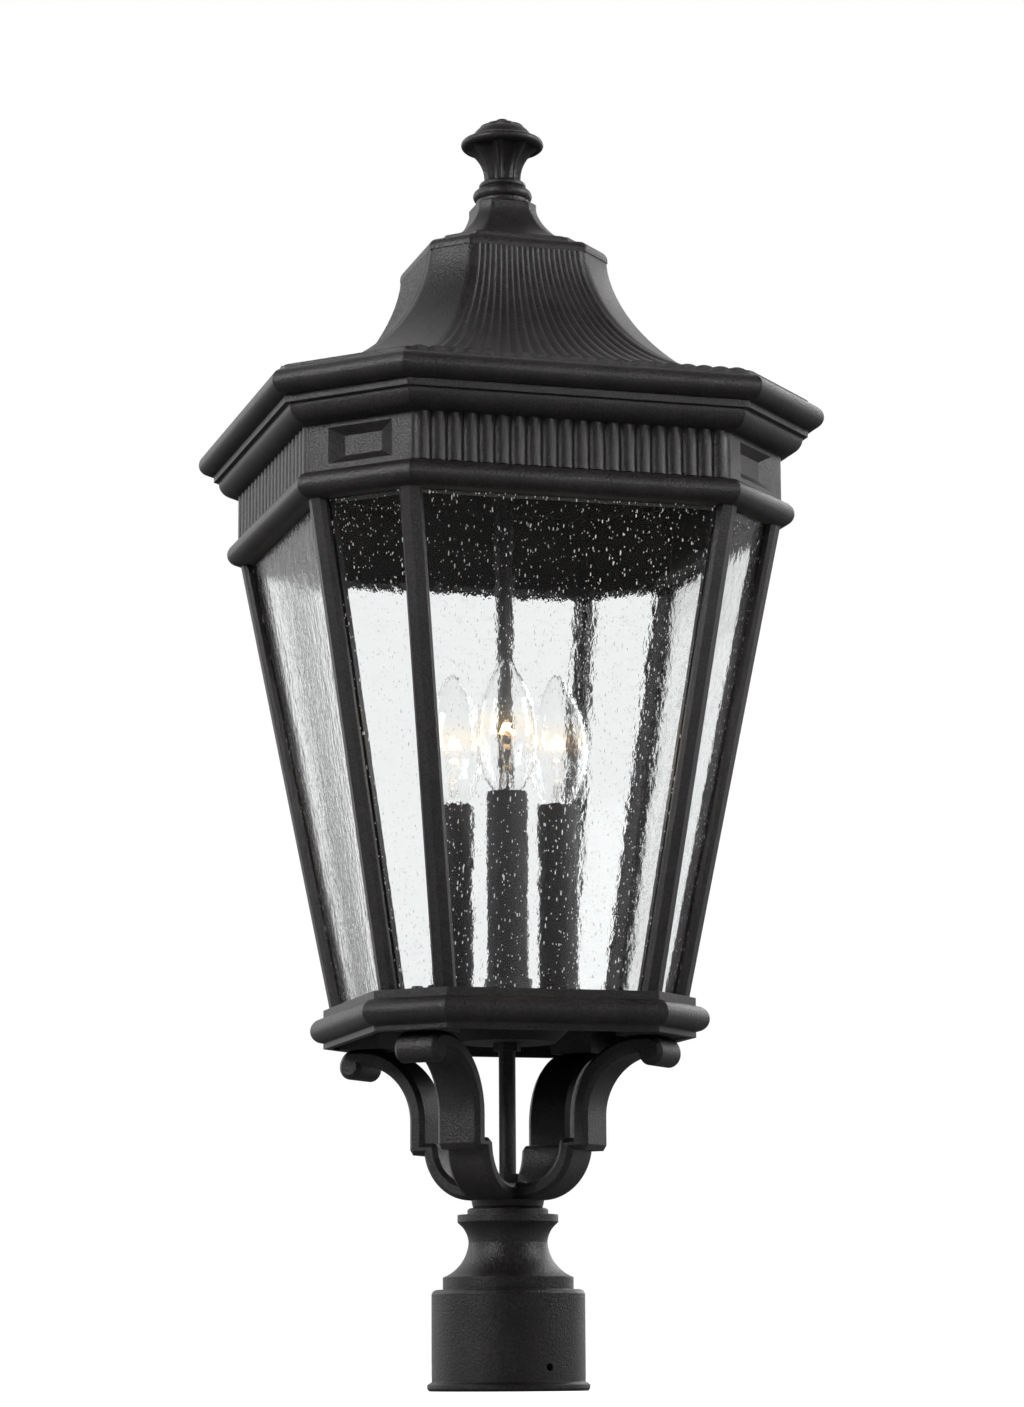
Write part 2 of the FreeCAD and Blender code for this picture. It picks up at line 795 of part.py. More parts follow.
def bulb_side(inset):
    """Points up one face of a torpedo-shaped bulb, from its neck to its tip."""
    belly = "(sleeve_z + bulb_belly_z)"
    tip = "(sleeve_z + bulb_length)"
    cap = "(bulb_tip_r * 0.8)"

    def bow(height, end_r, share):
        """A share of the way from the belly to a given radius at a given height, along an arc."""
        draw = f"(bulb_belly_r - {end_r})"
        arc = f"(({draw} ^ 2 + {height} ^ 2) / (2 * {draw}))"
        return f"bulb_belly_r - {arc} + sqrt({arc} ^ 2 - ({share} * {height}) ^ 2) - {inset}"
    low = "(bulb_belly_z + socket_drop)"
    high = f"(bulb_length - bulb_belly_z - {cap})"
    points = [(bow(low, "bulb_neck_r", share), f"{belly} - {share} * {low}")
              for share in (1, 0.7, 0.4, 0)]
    points += [(bow(high, "bulb_tip_r", share), f"{belly} + {share} * {high}")
               for share in (0.25, 0.5, 0.75, 1)]
    return points + [(f"bulb_tip_r * 0.6 - {inset} / 2", f"{tip} - {cap} * 0.3 - {inset}"),
                     ("0", f"{tip} - {inset}")]


def bulb_glass(name, azimuth):
    """Clear glass of a bulb: a thin shell that stands on the base."""
    profile = bulb_side("0") + bulb_side("bulb_wall")[::-1]
    return place_candle(revolved(f"bulb_glass_{name}", profile), azimuth)


def filament(name, azimuth):
    """Hairpin filament whose two legs rise from the base."""
    body = new_body(f"filament_{name}")
    foot = "(sleeve_z - socket_drop)"
    half = "(filament_width / 2)"
    path = new_sketch(body, "path", "XZ_Plane")
    bend = f"({foot} + filament_z)"
    outline(path, [(f"-{half}", foot), (f"-{half}", bend), ("0", f"{bend} + {half}", half, 1),
                   (half, bend, half, 1), (half, foot)], closed=False)
    section = new_sketch(body, "section", "XY_Plane", foot)
    circle(section, f"-{half}", "0", "filament_r")
    wire = body.newObject("PartDesign::AdditivePipe", f"filament_wire_{name}")
    wire.Profile = section
    wire.Spine = (path, [""])
    return place_candle(body, azimuth)


# ---------------------------------------------------------------- glass cage

# Corner bars: name, turn of the quarter they stand in, and which end of the long side.
BARS = [(f"bar_{quarter}_{end}", turn_by, side)
        for quarter, turn_by in (("front", 0), ("right", 90), ("back", 180), ("left", 270))
        for end, side in (("left", -1), ("right", 1))]


def bar_outline(side):
    """Level section of a corner bar about its outer corner, with a groove for each pane.

    The long side runs along X from the corner and the short side is turned by an eighth.
    """
    glass = "glass_thick + 2 * glass_gap"
    reach = "bar_face + bar_bevel"
    depth = f"bar_bevel + bar_jamb + {glass} + bar_back"
    half = [("bar_face", "0"), (reach, "bar_bevel"), (reach, "bar_bevel + bar_jamb"),
            (f"{reach} - bar_groove", "bar_bevel + bar_jamb"),
            (f"{reach} - bar_groove", f"bar_bevel + bar_jamb + {glass}"),
            (reach, f"bar_bevel + bar_jamb + {glass}"), (reach, depth)]
    along_long = [(f"-1 * {side} * ({s})", n) for s, n in half]
    along_short = [(f"{side} * (({s}) * cos(45) - ({n}) * sin(45))",
                    f"({s}) * sin(45) + ({n}) * cos(45)") for s, n in half]
    heel = (f"-1 * {side} * ({depth}) * tan(22.5)", depth)
    points = [("0", "0")] + along_long + [heel] + along_short[::-1]
    return points if side > 0 else points[::-1]


def corner_bar(label, azimuth, side):
    """One leaning bar: its level section drawn out along the cage's corner line."""
    section = doc.addObject("Sketcher::SketchObject", f"{label}_section")
    outline(section, bar_outline(side))
    bar = doc.addObject("Part::Extrusion", label)
    bar.Label = label
    bar.Base = section
    bar.DirMode = "Custom"
    bar.Solid = True
    x = f"{side} * (cage_head_side - cage_foot_side)"
    y = "-(cage_head_face - cage_foot_face)"
    z = "frame_z - base_z - base_height"
    for axis, text in zip("xyz", (x, y, z)):
        bar.setExpression(f".Dir.{axis}", cells(text))
    bar.setExpression("LengthFwd", cells(f"sqrt(({x}) ^ 2 + ({y}) ^ 2 + ({z}) ^ 2)"))
    corner = (f"{side} * cage_foot_side", "-cage_foot_face")
    bar.Placement = Placement(Vector(), Rotation(UP, azimuth))
    bind_place(bar,
               f"({corner[0]}) * cos({azimuth}) - ({corner[1]}) * sin({azimuth})",
               f"({corner[0]}) * sin({azimuth}) + ({corner[1]}) * cos({azimuth})",
               "base_z + base_height")
    return bar


PANES = {"front": 0, "right": 90, "back": 180, "left": 270}


def pane(label, azimuth, foot_face, foot_half, head_face, head_half):
    """One leaning pane as a wedge: level ends, and edges that sit in the bars' grooves."""
    glass = doc.addObject("Part::Wedge", label)
    glass.Label = label
    outer = "bar_bevel + bar_jamb + glass_gap"
    edge = "bar_face + bar_bevel - bar_groove + glass_gap"
    low, high = "base_z + base_height", "frame_z - glass_gap"
    share = f"(({high}) - ({low})) / (frame_z - base_z - base_height)"
    top_face = f"(({foot_face}) + (({head_face}) - ({foot_face})) * {share})"
    top_half = f"(({foot_half}) + (({head_half}) - ({foot_half})) * {share})"
    bind(glass,
         Xmin=f"-({foot_half}) + {edge}", Xmax=f"({foot_half}) - ({edge})",
         X2min=f"-({top_half}) + {edge}", X2max=f"({top_half}) - ({edge})",
         Ymin=low, Ymax=high,
         Zmin=f"({foot_face}) - ({outer}) - glass_thick", Zmax=f"({foot_face}) - ({outer})",
         Z2min=f"{top_face} - ({outer}) - glass_thick", Z2max=f"{top_face} - ({outer})")
    upright = Rotation(Vector(1, 0, 0), QUARTER)
    glass.Placement = Placement(Vector(), Rotation(UP, azimuth).multiply(upright))
    return glass


def panes():
    """Four wide panes and, an eighth of a turn on, four narrow ones."""
    short_foot = ("(cage_foot_face + cage_foot_side) / sqrt(2)",
                  "(cage_foot_face - cage_foot_side) / sqrt(2)")
    short_head = ("(cage_head_face + cage_head_side) / sqrt(2)",
                  "(cage_head_face - cage_head_side) / sqrt(2)")
    glass = []
    for name, azimuth in PANES.items():
        glass.append(pane(f"glass_{name}", azimuth, "cage_foot_face", "cage_foot_side",
                          "cage_head_face", "cage_head_side"))
        glass.append(pane(f"glass_{name}_corner", azimuth + EIGHTH, *short_foot, *short_head))
    return glass


# ---------------------------------------------------------------- top frame

FRAME_INSIDE = "(frame_face - frame_wall)"


def top_frame():
    """Cast frame over the glass: bead, frieze, ovolo and fillet, with a flange at each end."""
    body = new_body("top_frame")
    ovolo_r = f"cove_face - ovolo_step - (frame_face + ovolo_foot)"
    moulding(body, "wall", "frame_face", "frame_side", [
        ("frame_face - frame_ledge", "frame_z"),
        ("frame_face", "frame_z"),
        ("frame_face + frame_bead_r", "frame_z + frame_bead_r", "frame_bead_r", -1),
        ("frame_face", FRIEZE_Z, "frame_bead_r", -1),
        ("frame_face", OVOLO_Z),
        ("frame_face + ovolo_foot", OVOLO_Z),
        ("cove_face - ovolo_step", FILLET_Z, f"({ovolo_r}) * 1.02", -1),
        ("cove_face", FILLET_Z),
        ("cove_face", SEAT_Z),
        (f"{FRAME_INSIDE} - 3", SEAT_Z),
        (f"{FRAME_INSIDE} - 3", f"{SEAT_Z} - frame_flange"),
        (FRAME_INSIDE, f"{SEAT_Z} - frame_flange"),
        (FRAME_INSIDE, "frame_z + frame_flange"),
        ("frame_face - frame_ledge", "frame_z + frame_flange"),
    ])
    frieze_reeds(body)
    frieze_panels(body)
    return body


def polar(body, features, name):
    """Repeats features on all four quarters."""
    pattern = body.newObject("PartDesign::PolarPattern", name)
    pattern.Originals = features
    pattern.Axis = (next(item for item in body.Origin.OriginFeatures if item.Role == "Z_Axis"), [""])
    pattern.Angle = 360
    pattern.Occurrences = 4
    body.Tip = pattern
    return pattern


def frieze_reeds(body):
    """Rows of upright half-round reeds on the long sides of the frieze."""
    sketch = new_sketch(body, "reeds", "XY_Plane", FRIEZE_Z)
    count = int(SIZES["reed_count"])
    pitch = "(2 * (frame_side - reed_margin) / reed_count)"
    radius = f"(({pitch} / 2) ^ 2 + reed_bulge ^ 2) / (2 * reed_bulge)"
    start = "(frame_side - reed_margin)"
    points = [(f"-{start}", "-(frame_face - 1)"), (f"-{start}", "-frame_face")]
    for index in range(1, count + 1):
        points.append((f"-{start} + {index} * {pitch}", "-frame_face", radius, -1))
    points.append((start, "-(frame_face - 1)"))
    outline(sketch, points)
    reeds = pad(body, sketch, "frieze_height")
    polar(body, [reeds], "top_frame_reed_rows")


def chamfer_sketch(body, name, inset):
    """A sketch on the short side between front and right, set in from its face."""
    sketch = new_sketch(body, name, "XZ_Plane")
    sketch.AttachmentOffset = Placement(Vector(), Rotation(Vector(0, 1, 0), EIGHTH))
    for axis in "xz":
        sketch.setExpression(f".AttachmentOffset.Base.{axis}",
                             cells(f"(frame_face + frame_side) / 2 - ({inset}) / sqrt(2)"))
    return sketch


def frieze_panels(body):
    """Sunk panels with sloping sides on the short sides of the frieze."""
    middle = f"{FRIEZE_Z} + frieze_height / 2"
    sketches = []
    for name, inset, side_slope, end_slope in (
            ("panel_mouth", "-0.01", "0", "0"),
            ("panel_floor", "panel_depth", "panel_side_slope", "panel_end_slope")):
        sketch = chamfer_sketch(body, name, inset)
        across = f"(panel_width / 2 - {side_slope})"
        up = f"(panel_height / 2 - {end_slope})"
        outline(sketch, [(f"-{across}", f"{middle} - {up}"), (across, f"{middle} - {up}"),
                         (across, f"{middle} + {up}"), (f"-{across}", f"{middle} + {up}")])
        sketches.append(sketch)
    panel = body.newObject("PartDesign::SubtractiveLoft", "top_frame_panel")
    panel.Profile = sketches[0]
    panel.Sections = sketches[1:]
    panel.Ruled = True
    polar(body, [panel], "top_frame_panels")


# ---------------------------------------------------------------- roof lift-off parts

def eave_ring():
    """Beaded ring under the roof, with a lip that drops inside the top frame."""
    short_side = "(eave_side - frame_side - (eave_face - frame_face) * (sqrt(2) - 1)) / sqrt(2)"
    lip = f"({FRAME_INSIDE} - 3 - lip_gap - max(0; {short_side}))"
    body = new_body("eave_ring")
    moulding(body, "ring", "eave_face", "eave_side", [
        (f"{lip} - 3", SEAT_Z),
        (f"{lip} - 3", f"{SEAT_Z} - eave_lip"),
        (lip, f"{SEAT_Z} - eave_lip"),
        (lip, SEAT_Z),
        ("eave_face", SEAT_Z),
        ("eave_face + eave_bead_r", f"{SEAT_Z} + eave_bead_r", "eave_bead_r", -1),
        ("eave_face", RIM_Z, "eave_bead_r", -1),
        ("eave_inner", RIM_Z),
        ("eave_inner", f"{SEAT_Z} + eave_plate"),
        (f"{lip} - 3", f"{SEAT_Z} + eave_plate"),
    ])
    return body


def bell_point(share):
    """Face, side and height of the roof's surface at a share of its height, and its normal."""
    curve = value("roof_curve")

    def at(part):
        width = flare(part, curve)
        face = value("roof_top_face") + value("roof_rim_face - roof_top_face") * width
        side = value("roof_top_side") + value("roof_rim_side - roof_top_side") * width
        return face, side, value(BELL_Z) + value("roof_height") * part
    low, high = at(max(share - 0.01, 0)), at(min(share + 0.01, 1))
    run, rise = low[0] - high[0], high[2] - low[2]
    slope = math.hypot(run, rise)
    upright = Vector(1, 0, 0)
    return at(share) + (upright if share == 1 else Vector(rise / slope, 0, run / slope),)


def reeded_level(face, side, height, count, bulge, normal):
    """One level of a reeded surface: each long side is a row of arcs that stand out along its
    normal, given for the +X side, and each short side is a straight line."""
    edges = []
    for quarter in range(4):
        spin = Rotation(UP, quarter * QUARTER)
        marks = [Vector(face, -side + 2 * side * index / count, height) for index in range(count + 1)]
        lift = normal * (bulge * 2 * side / count)
        for start, end in zip(marks, marks[1:]):
            crest = (start + end) * 0.5 + lift
            points = [spin.multVec(point) for point in (start, crest, end)]
            edges.append(Part.Arc(*points).toShape())
        corner = spin.multVec(marks[-1])
        following = Rotation(UP, (quarter + 1) * QUARTER).multVec(marks[0])
        edges.append(Part.makeLine(corner, following))
    return Part.Wire(edges)


def roof_bell():
    """Reeded bell roof: a thin octagonal shell whose long sides carry reeds that fan out."""
    count = int(SIZES["reed_count"])
    bulge = value("roof_bulge")
    shares = [0, 0.03, 0.1, 0.22, 0.42, 0.7, 1]
    foot_face, foot_side = value("roof_rim_face"), value("roof_rim_side")
    wires = [reeded_level(foot_face, foot_side, value(RIM_Z), count, 0.02, Vector(1, 0, 0))]
    for share in shares:
        face, side, height, normal = bell_point(share)
        wires.append(reeded_level(face, side, height, count, bulge, normal))
    outer = Part.makeLoft(wires, True, True)
    wall = value("roof_wall")
    hollow = [level(value("eave_inner"), value("eave_side - (eave_face - eave_inner) * (sqrt(2) - 1)"),
                    value(RIM_Z))]
    for share in shares[2:]:
        face, side, height, normal = bell_point(share)
        inset = wall * normal.x
        drop = wall * normal.z if share < 1 else wall
        hollow.append(level(face - inset, side - inset * (math.sqrt(2) - 1), height - drop))
    inner = Part.makeLoft(hollow, True, True)
    bore = Part.makeCylinder(value("stem_r + roof_gap"), value("roof_height"),
                             Vector(0, 0, value(BELL_Z)))
    item = doc.addObject("Part::Feature", "roof_bell")
    item.Label = "roof_bell"
    item.Shape = outer.cut(inner).cut(bore)
    return item


def crown_cap():
    """Octagonal crown: a hollow band up to a thin plate, and a small pagoda roof on it."""
    ratio = value("crown_ratio")
    curve = value("crown_curve")
    base, lid = value(CROWN_Z), value(f"{CROWN_Z} + crown_cove")
    cove_face, plate_face = value("crown_cove_face"), value("crown_plate_face")
    top_face = value("roof_top_face")
    levels = []
    for share in (0, 0.12, 0.35, 0.65, 1):
        face = cove_face + (top_face - cove_face) * flare(share, 0.6)
        levels.append(level(face, face * ratio, base + (lid - base) * share))
    band = Part.makeLoft(levels, True, True)
    count = int(SIZES["reed_count"])
    plate_top = lid + value("crown_plate")
    plate = Part.makeLoft([
        reeded_level(plate_face, plate_face * ratio, lid, count, 0.02, Vector(1, 0, 0)),
        reeded_level(plate_face, plate_face * ratio, plate_top, count, 0.15, Vector(1, 0, 0)),
    ], True, True)
    foot, neck = value("crown_foot_face"), value("crown_top_face")
    levels = [level(foot, foot * ratio, plate_top)]
    for share in (0, 0.04, 0.12, 0.25, 0.45, 0.7, 1):
        face = neck + (foot - neck) * flare(share, curve)
        levels.append(level(face, face * ratio, value(PAGODA_Z) + value("crown_height") * share))
    collar = value(f"{PAGODA_Z} + crown_height + crown_collar")
    end = value("crown_end_face")
    levels.append(level(neck, neck * ratio, collar))
    levels.append(level(end, end * ratio, value(FINIAL_Z)))
    pagoda = Part.makeLoft(levels, True, True)
    wall = value("crown_wall")
    hollow = Part.makeLoft([level(cove_face - wall, (cove_face - wall) * ratio, base),
                            level(foot - 2 * wall, (foot - 2 * wall) * ratio, plate_top - 1),
                            level(neck - wall, (neck - wall) * ratio,
                                  value(f"{PAGODA_Z} + crown_height * 0.62"))],
                           True, True)
    bore = Part.makeCylinder(value("stem_r + roof_gap"), value(FINIAL_Z) - base,
                             Vector(0, 0, base))
    item = doc.addObject("Part::Feature", "crown_cap")
    item.Label = "crown_cap"
    item.Shape = band.fuse([plate, pagoda]).removeSplitter().cut(hollow.fuse(bore))
    return item


def lobed_level(radius, height, count, bulge, flat=0):
    """A round level made of arcs that stand out (bulge > 0) or in (bulge < 0).

    A flat, as a share of the pitch, leaves a straight rib between two arcs.
    """
    edges = []
    step = 2 * math.pi / count
    middle = radius * (math.cos(step / 2) + bulge * step)

    def at(reach, turns):
        return Vector(reach * math.cos(step * turns), reach * math.sin(step * turns), height)
    for index in range(count):
        start, end = at(radius, index + flat / 2), at(radius, index + 1 - flat / 2)
        edges.append(Part.Arc(start, at(middle, index + 0.5), end).toShape())
        if flat:
            edges.append(Part.makeLine(end, at(radius, index + 1 + flat / 2)))
    return Part.Wire(edges)


def finial():
    """Turned finial: bead, neck, fluted cup, rim bead, petalled dome and button."""
    foot = FINIAL_Z
    cup_z, rim_z = f"{foot} + finial_cup_height", f"{foot} + finial_rim_height"
    rim_top = "(finial_dome_r + 1.4)"
    rise = "((finial_rim_height - finial_cup_height) / 2)"
    stand = f"(finial_rim_r - (finial_cup_r + {rim_top}) / 2)"
    core = "(finial_neck_r * 0.8)"
    body = revolved("finial_core", [
        ("stem_r + thread_gap", foot),
        ("finial_foot_r", foot),
        ("finial_bead_r", f"{foot} + 2.6"),
        ("finial_bead_r", f"{foot} + 6"),
        ("finial_step_r", f"{foot} + 8.6"),
        ("finial_step_r", f"{foot} + 11.4"),
        ("finial_neck_r", f"{foot} + finial_neck_height - 1.5", "6", 1),
        ("finial_neck_r", f"{foot} + finial_neck_height + 0.5"),
        (core, f"{foot} + finial_neck_height + 0.5"),
        (core, cup_z),
        ("finial_cup_r", cup_z),
        (rim_top, rim_z, f"({rise} ^ 2 + {stand} ^ 2) / (2 * {stand})", -1),
        ("finial_dome_r - 4", rim_z),
        ("8", f"{foot} + finial_height - 6"),
        ("finial_button_r", f"{foot} + finial_height - 4"),
        ("finial_button_r", f"{foot} + finial_height - 2"),
        ("0", f"{foot} + finial_height", "(finial_button_r ^ 2 + 2 ^ 2) / (2 * 2)", -1),
        ("0", f"{foot} + finial_bore_depth"),
        ("stem_r + thread_gap", f"{foot} + finial_bore_depth"),
    ])
    doc.recompute()
    neck, cup = value("finial_neck_r"), value("finial_cup_r")
    low, high = value(f"{foot} + finial_neck_height"), value(cup_z) + 1
    levels = []
    for share in (0, 0.3, 0.6, 0.8, 1):
        radius = neck + (cup - neck) * share ** 2
        levels.append(lobed_level(radius, low + (high - low) * share, int(SIZES["flute_count"]),
                                  -0.12, flat=0.1))
    fluted = Part.makeLoft(levels, True, True)
    button, dome = value("finial_button_r"), value("finial_dome_r")
    low, high = value(rim_z), value(f"{foot} + finial_height - 3")
    levels = [lobed_level(dome, low - 1, int(SIZES["petal_count"]), 0.12)]
    for share in (0, 0.35, 0.7, 1):
        radius = button + (dome - button) * (1 - share)
        height = low + (high - low) * math.sqrt(share)
        levels.append(lobed_level(radius, height, int(SIZES["petal_count"]), 0.12))
    petals = Part.makeLoft(levels, True, True)
    bore = Part.makeCylinder(value("stem_r + thread_gap"), value("finial_bore_depth"),
                             Vector(0, 0, value(foot)))
    item = doc.addObject("Part::Feature", "finial")
    item.Label = "finial"
    item.Shape = body.Shape.fuse([fluted, petals]).cut(bore)
    return item


parts = [post_fitter(), bracket_disc(), stem(), stem_nuts(), stem_washer(), base_dish(),
         base_tray(), arm_screws(), candle_plate()]
for quarter, azimuth in (("front_left", 225), ("front_right", 315), ("back_right", 45),
                         ("back_left", 135)):
    parts.append(scroll_arm(f"arm_{quarter}", azimuth))
for name, azimuth in CANDLES.items():
    for make in (candle_cup, riser, sleeve, socket, bulb_base, bulb_glass, filament):
        parts.append(make(name, azimuth))
for label, azimuth, side in BARS:
    parts.append(corner_bar(label, azimuth, side))
parts += panes()
parts += [top_frame(), eave_ring(), roof_bell(), crown_cap(), finial()]

doc.recompute()
for item in doc.Objects:
    if "Invalid" in item.State or "Error" in item.State:
        raise RuntimeError(f"{item.Name} did not compute: {item.State}")
os.makedirs("parts", exist_ok=True)
for item in parts:
    if item.Shape.isNull() or not item.Shape.isValid():
        raise RuntimeError(f"{item.Label} has no valid shape")
    item.Shape.exportStep(f"parts/{item.Label}.step")
    box = item.Shape.BoundBox
    print(f"{item.Label:24s} solids {len(item.Shape.Solids)} volume {item.Shape.Volume:10.0f} "
          f"z {box.ZMin:7.1f} {box.ZMax:7.1f} x {box.XMin:7.1f} {box.XMax:7.1f}")
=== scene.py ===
"""Looks, light and camera for the post top lantern, in metres and in the frame of the CAD."""
import json
import math

import bpy
from mathutils import Matrix, Vector


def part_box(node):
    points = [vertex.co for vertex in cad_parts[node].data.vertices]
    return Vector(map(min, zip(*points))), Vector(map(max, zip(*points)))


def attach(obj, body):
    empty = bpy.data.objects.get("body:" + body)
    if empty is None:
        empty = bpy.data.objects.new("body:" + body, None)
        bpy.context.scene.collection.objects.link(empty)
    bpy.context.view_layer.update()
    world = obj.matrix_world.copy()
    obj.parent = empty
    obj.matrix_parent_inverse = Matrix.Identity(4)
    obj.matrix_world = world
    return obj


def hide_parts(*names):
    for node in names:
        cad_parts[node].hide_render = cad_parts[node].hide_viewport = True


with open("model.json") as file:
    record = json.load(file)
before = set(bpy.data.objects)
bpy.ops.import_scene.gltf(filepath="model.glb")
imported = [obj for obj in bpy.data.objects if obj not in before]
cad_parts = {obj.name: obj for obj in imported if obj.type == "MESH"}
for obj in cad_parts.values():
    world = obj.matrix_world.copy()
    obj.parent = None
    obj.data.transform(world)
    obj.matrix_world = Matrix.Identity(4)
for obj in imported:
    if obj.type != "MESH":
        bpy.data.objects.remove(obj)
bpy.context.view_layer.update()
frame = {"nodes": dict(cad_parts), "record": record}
RECORD = frame["record"]
NODES = frame["nodes"]
MM = 0.001
WHITE = (1, 1, 1, 1)


# ---------------------------------------------------------------- node trees

def plug(node, *values, **named):
    """Feeds a node's inputs, in order or by name with _ for a space: constants or outputs."""
    pairs = list(zip(node.inputs, values))
    pairs += [(node.inputs[name.replace("_", " ")], value) for name, value in named.items()]
    for socket, value in pairs:
        if isinstance(value, bpy.types.NodeSocket):
            node.id_data.links.new(value, socket)
        else:
            socket.default_value = value


class Tree:
    """The node tree of a material or world, with short calls for the nodes used here."""

    def __init__(self, owner):
        owner.use_nodes = True
        self.owner = owner
        self.nodes = owner.node_tree.nodes
        self.coordinates = self.add("ShaderNodeTexCoord").outputs

    def add(self, kind, **properties):
        node = self.nodes.new(kind)
        for name, value in properties.items():
            setattr(node, name, value)
        return node

    def rays(self):
        """What kind of ray meets the surface or the world."""
        return self.add("ShaderNodeLightPath").outputs

    def parts(self, vector):
        """The X, Y and Z of a vector."""
        node = self.add("ShaderNodeSeparateXYZ")
        plug(node, vector)
        return node.outputs

    def math(self, operation, *values):
        node = self.add("ShaderNodeMath", operation=operation)
        plug(node, *values)
        return node.outputs["Value"]

    def map_range(self, value, from_min, from_max, to_min=0.0, to_max=1.0, kind="LINEAR"):
        """A value carried from one range to another, and kept inside it."""
        node = self.add("ShaderNodeMapRange", interpolation_type=kind)
        plug(node, Value=value, From_Min=from_min, From_Max=from_max, To_Min=to_min,
             To_Max=to_max)
        return node.outputs["Result"]


class Finish(Tree):
    """A material's tree, with its surface shader and textures in object coordinates."""

    def __init__(self, name):
        super().__init__(bpy.data.materials.new(name))
        self.shader = self.nodes["Principled BSDF"]

    def stretched(self, height):
        """Object coordinates scaled along their height alone."""
        node = self.add("ShaderNodeMapping")
        plug(node, Vector=self.coordinates["Object"], Scale=(1, 1, height))
        return node.outputs["Vector"]

    def noise(self, scale, detail=2.0, where=None):
        """Noise with so many waves to the metre."""
        node = self.add("ShaderNodeTexNoise")
        plug(node, Vector=where or self.coordinates["Object"], Scale=scale, Detail=detail)
        return node.outputs["Fac"]

    def facing(self):
        """0 where the surface is seen squarely, 1 where it is seen edge on."""
        return self.add("ShaderNodeLayerWeight").outputs["Facing"]

    def upward(self, normal):
        """How far the surface faces up, by its "Normal" or its "True Normal"."""
        return self.parts(self.add("ShaderNodeNewGeometry").outputs[normal])["Z"]

    def ramp(self, factor, *stops):
        """A colour ramp; each stop is (position, colour)."""
        node = self.add("ShaderNodeValToRGB")
        elements = node.color_ramp.elements
        while len(elements) < len(stops):
            elements.new(0.5)
        for element, (position, colour) in zip(elements, stops):
            element.position = position
            element.color = (*colour, 1)
        plug(node, factor)
        return node.outputs["Color"]

    def mixed(self, factor, first, second):
        """A blend of two colours; the second is a constant."""
        node = self.add("ShaderNodeMix", data_type="RGBA")
        plug(node, Factor=factor, A=first, B=(*second, 1))
        return node.outputs["Result"]

    def bump(self, height, strength, relief, over=None):
        """The normal that a height gives, over another normal or the surface's own."""
        node = self.add("ShaderNodeBump")
        plug(node, Height=height, Strength=strength, Distance=relief)
        if over:
            plug(node, Normal=over)
        return node.outputs["Normal"]


def grey(level):
    return (level, level, level)


# ---------------------------------------------------------------- finishes

# The coat's grain, waves and patches are noise with so many waves to the metre. UNDERSIDE is the
# upward part of the normal where an underside is fully dry, and where its dryness ends.
GRAIN_SCALE = 850
WAVE_SCALE = 560
PATCH_SCALE = 60
GRAIN_SHARE = 0.75
COAT_STOPS = (0.42, 0.6)
COAT_RELIEF = 0.4 * MM
GRAIN_ROUGHNESS = 0.4
UNDERSIDE = (-0.85, -0.15)
EDGE_RADIUS = 0.6 * MM


def powder_coat(name, dark, light, roughness=0.45, gloss=0.35):
    """Fine textured powder coat on a casting, rounded on its edges and dry on its undersides."""
    tree = Finish(name)
    grain = tree.noise(GRAIN_SCALE, detail=3.0)
    patch = tree.noise(PATCH_SCALE)
    blend = tree.math("ADD", tree.math("MULTIPLY", grain, GRAIN_SHARE),
                      tree.math("MULTIPLY", patch, 1 - GRAIN_SHARE))
    dryness = tree.map_range(tree.upward("Normal"), *UNDERSIDE, to_min=1.0, to_max=roughness)
    lowest = tree.math("SUBTRACT", dryness, GRAIN_ROUGHNESS / 2)
    rounded = tree.add("ShaderNodeBevel", samples=4)
    plug(rounded, Radius=EDGE_RADIUS)
    waves = tree.bump(tree.noise(WAVE_SCALE), strength=0.2, relief=COAT_RELIEF,
                      over=rounded.outputs["Normal"])
    plug(tree.shader,
         Base_Color=tree.ramp(blend, (COAT_STOPS[0], dark), (COAT_STOPS[1], light)),
         Roughness=tree.math("MULTIPLY_ADD", grain, GRAIN_ROUGHNESS, lowest),
         Normal=tree.bump(grain, strength=0.9, relief=COAT_RELIEF, over=waves),
         Specular_IOR_Level=gloss)
    return tree.owner


SCRATCH_SCALE = 300
SCRATCH_SQUEEZE = 6
SCRATCH_SHADE = 0.8
SCRATCH_STOPS = (0.3, 0.7)
SCRATCH_ROUGHNESS = 0.2
SCRATCH_RELIEF = 0.1 * MM


def plain_metal(name, colour, roughness):
    """Turned or plated metal with fine scratches along its turning."""
    tree = Finish(name)
    lines = tree.noise(SCRATCH_SCALE, where=tree.stretched(SCRATCH_SQUEEZE))
    shaded = tuple(SCRATCH_SHADE * part for part in colour)
    plug(tree.shader,
         Base_Color=tree.ramp(lines, (SCRATCH_STOPS[0], shaded), (SCRATCH_STOPS[1], colour)),
         Roughness=tree.math("ADD", tree.math("MULTIPLY", lines, SCRATCH_ROUGHNESS),
                             roughness - SCRATCH_ROUGHNESS / 2),
         Normal=tree.bump(lines, strength=0.2, relief=SCRATCH_RELIEF),
         Metallic=1.0)
    return tree.owner


def let_lamps_through(tree):
    """Glass that casts no shadow: shadow rays and diffuse rays go straight through it."""
    rays = tree.rays()
    through = tree.math("MAXIMUM", rays["Is Shadow Ray"], rays["Is Diffuse Ray"])
    mix = tree.add("ShaderNodeMixShader")
    plug(mix, through, tree.shader.outputs["BSDF"],
         tree.add("ShaderNodeBsdfTransparent").outputs["BSDF"])
    plug(tree.nodes["Material Output"], Surface=mix.outputs["Shader"])


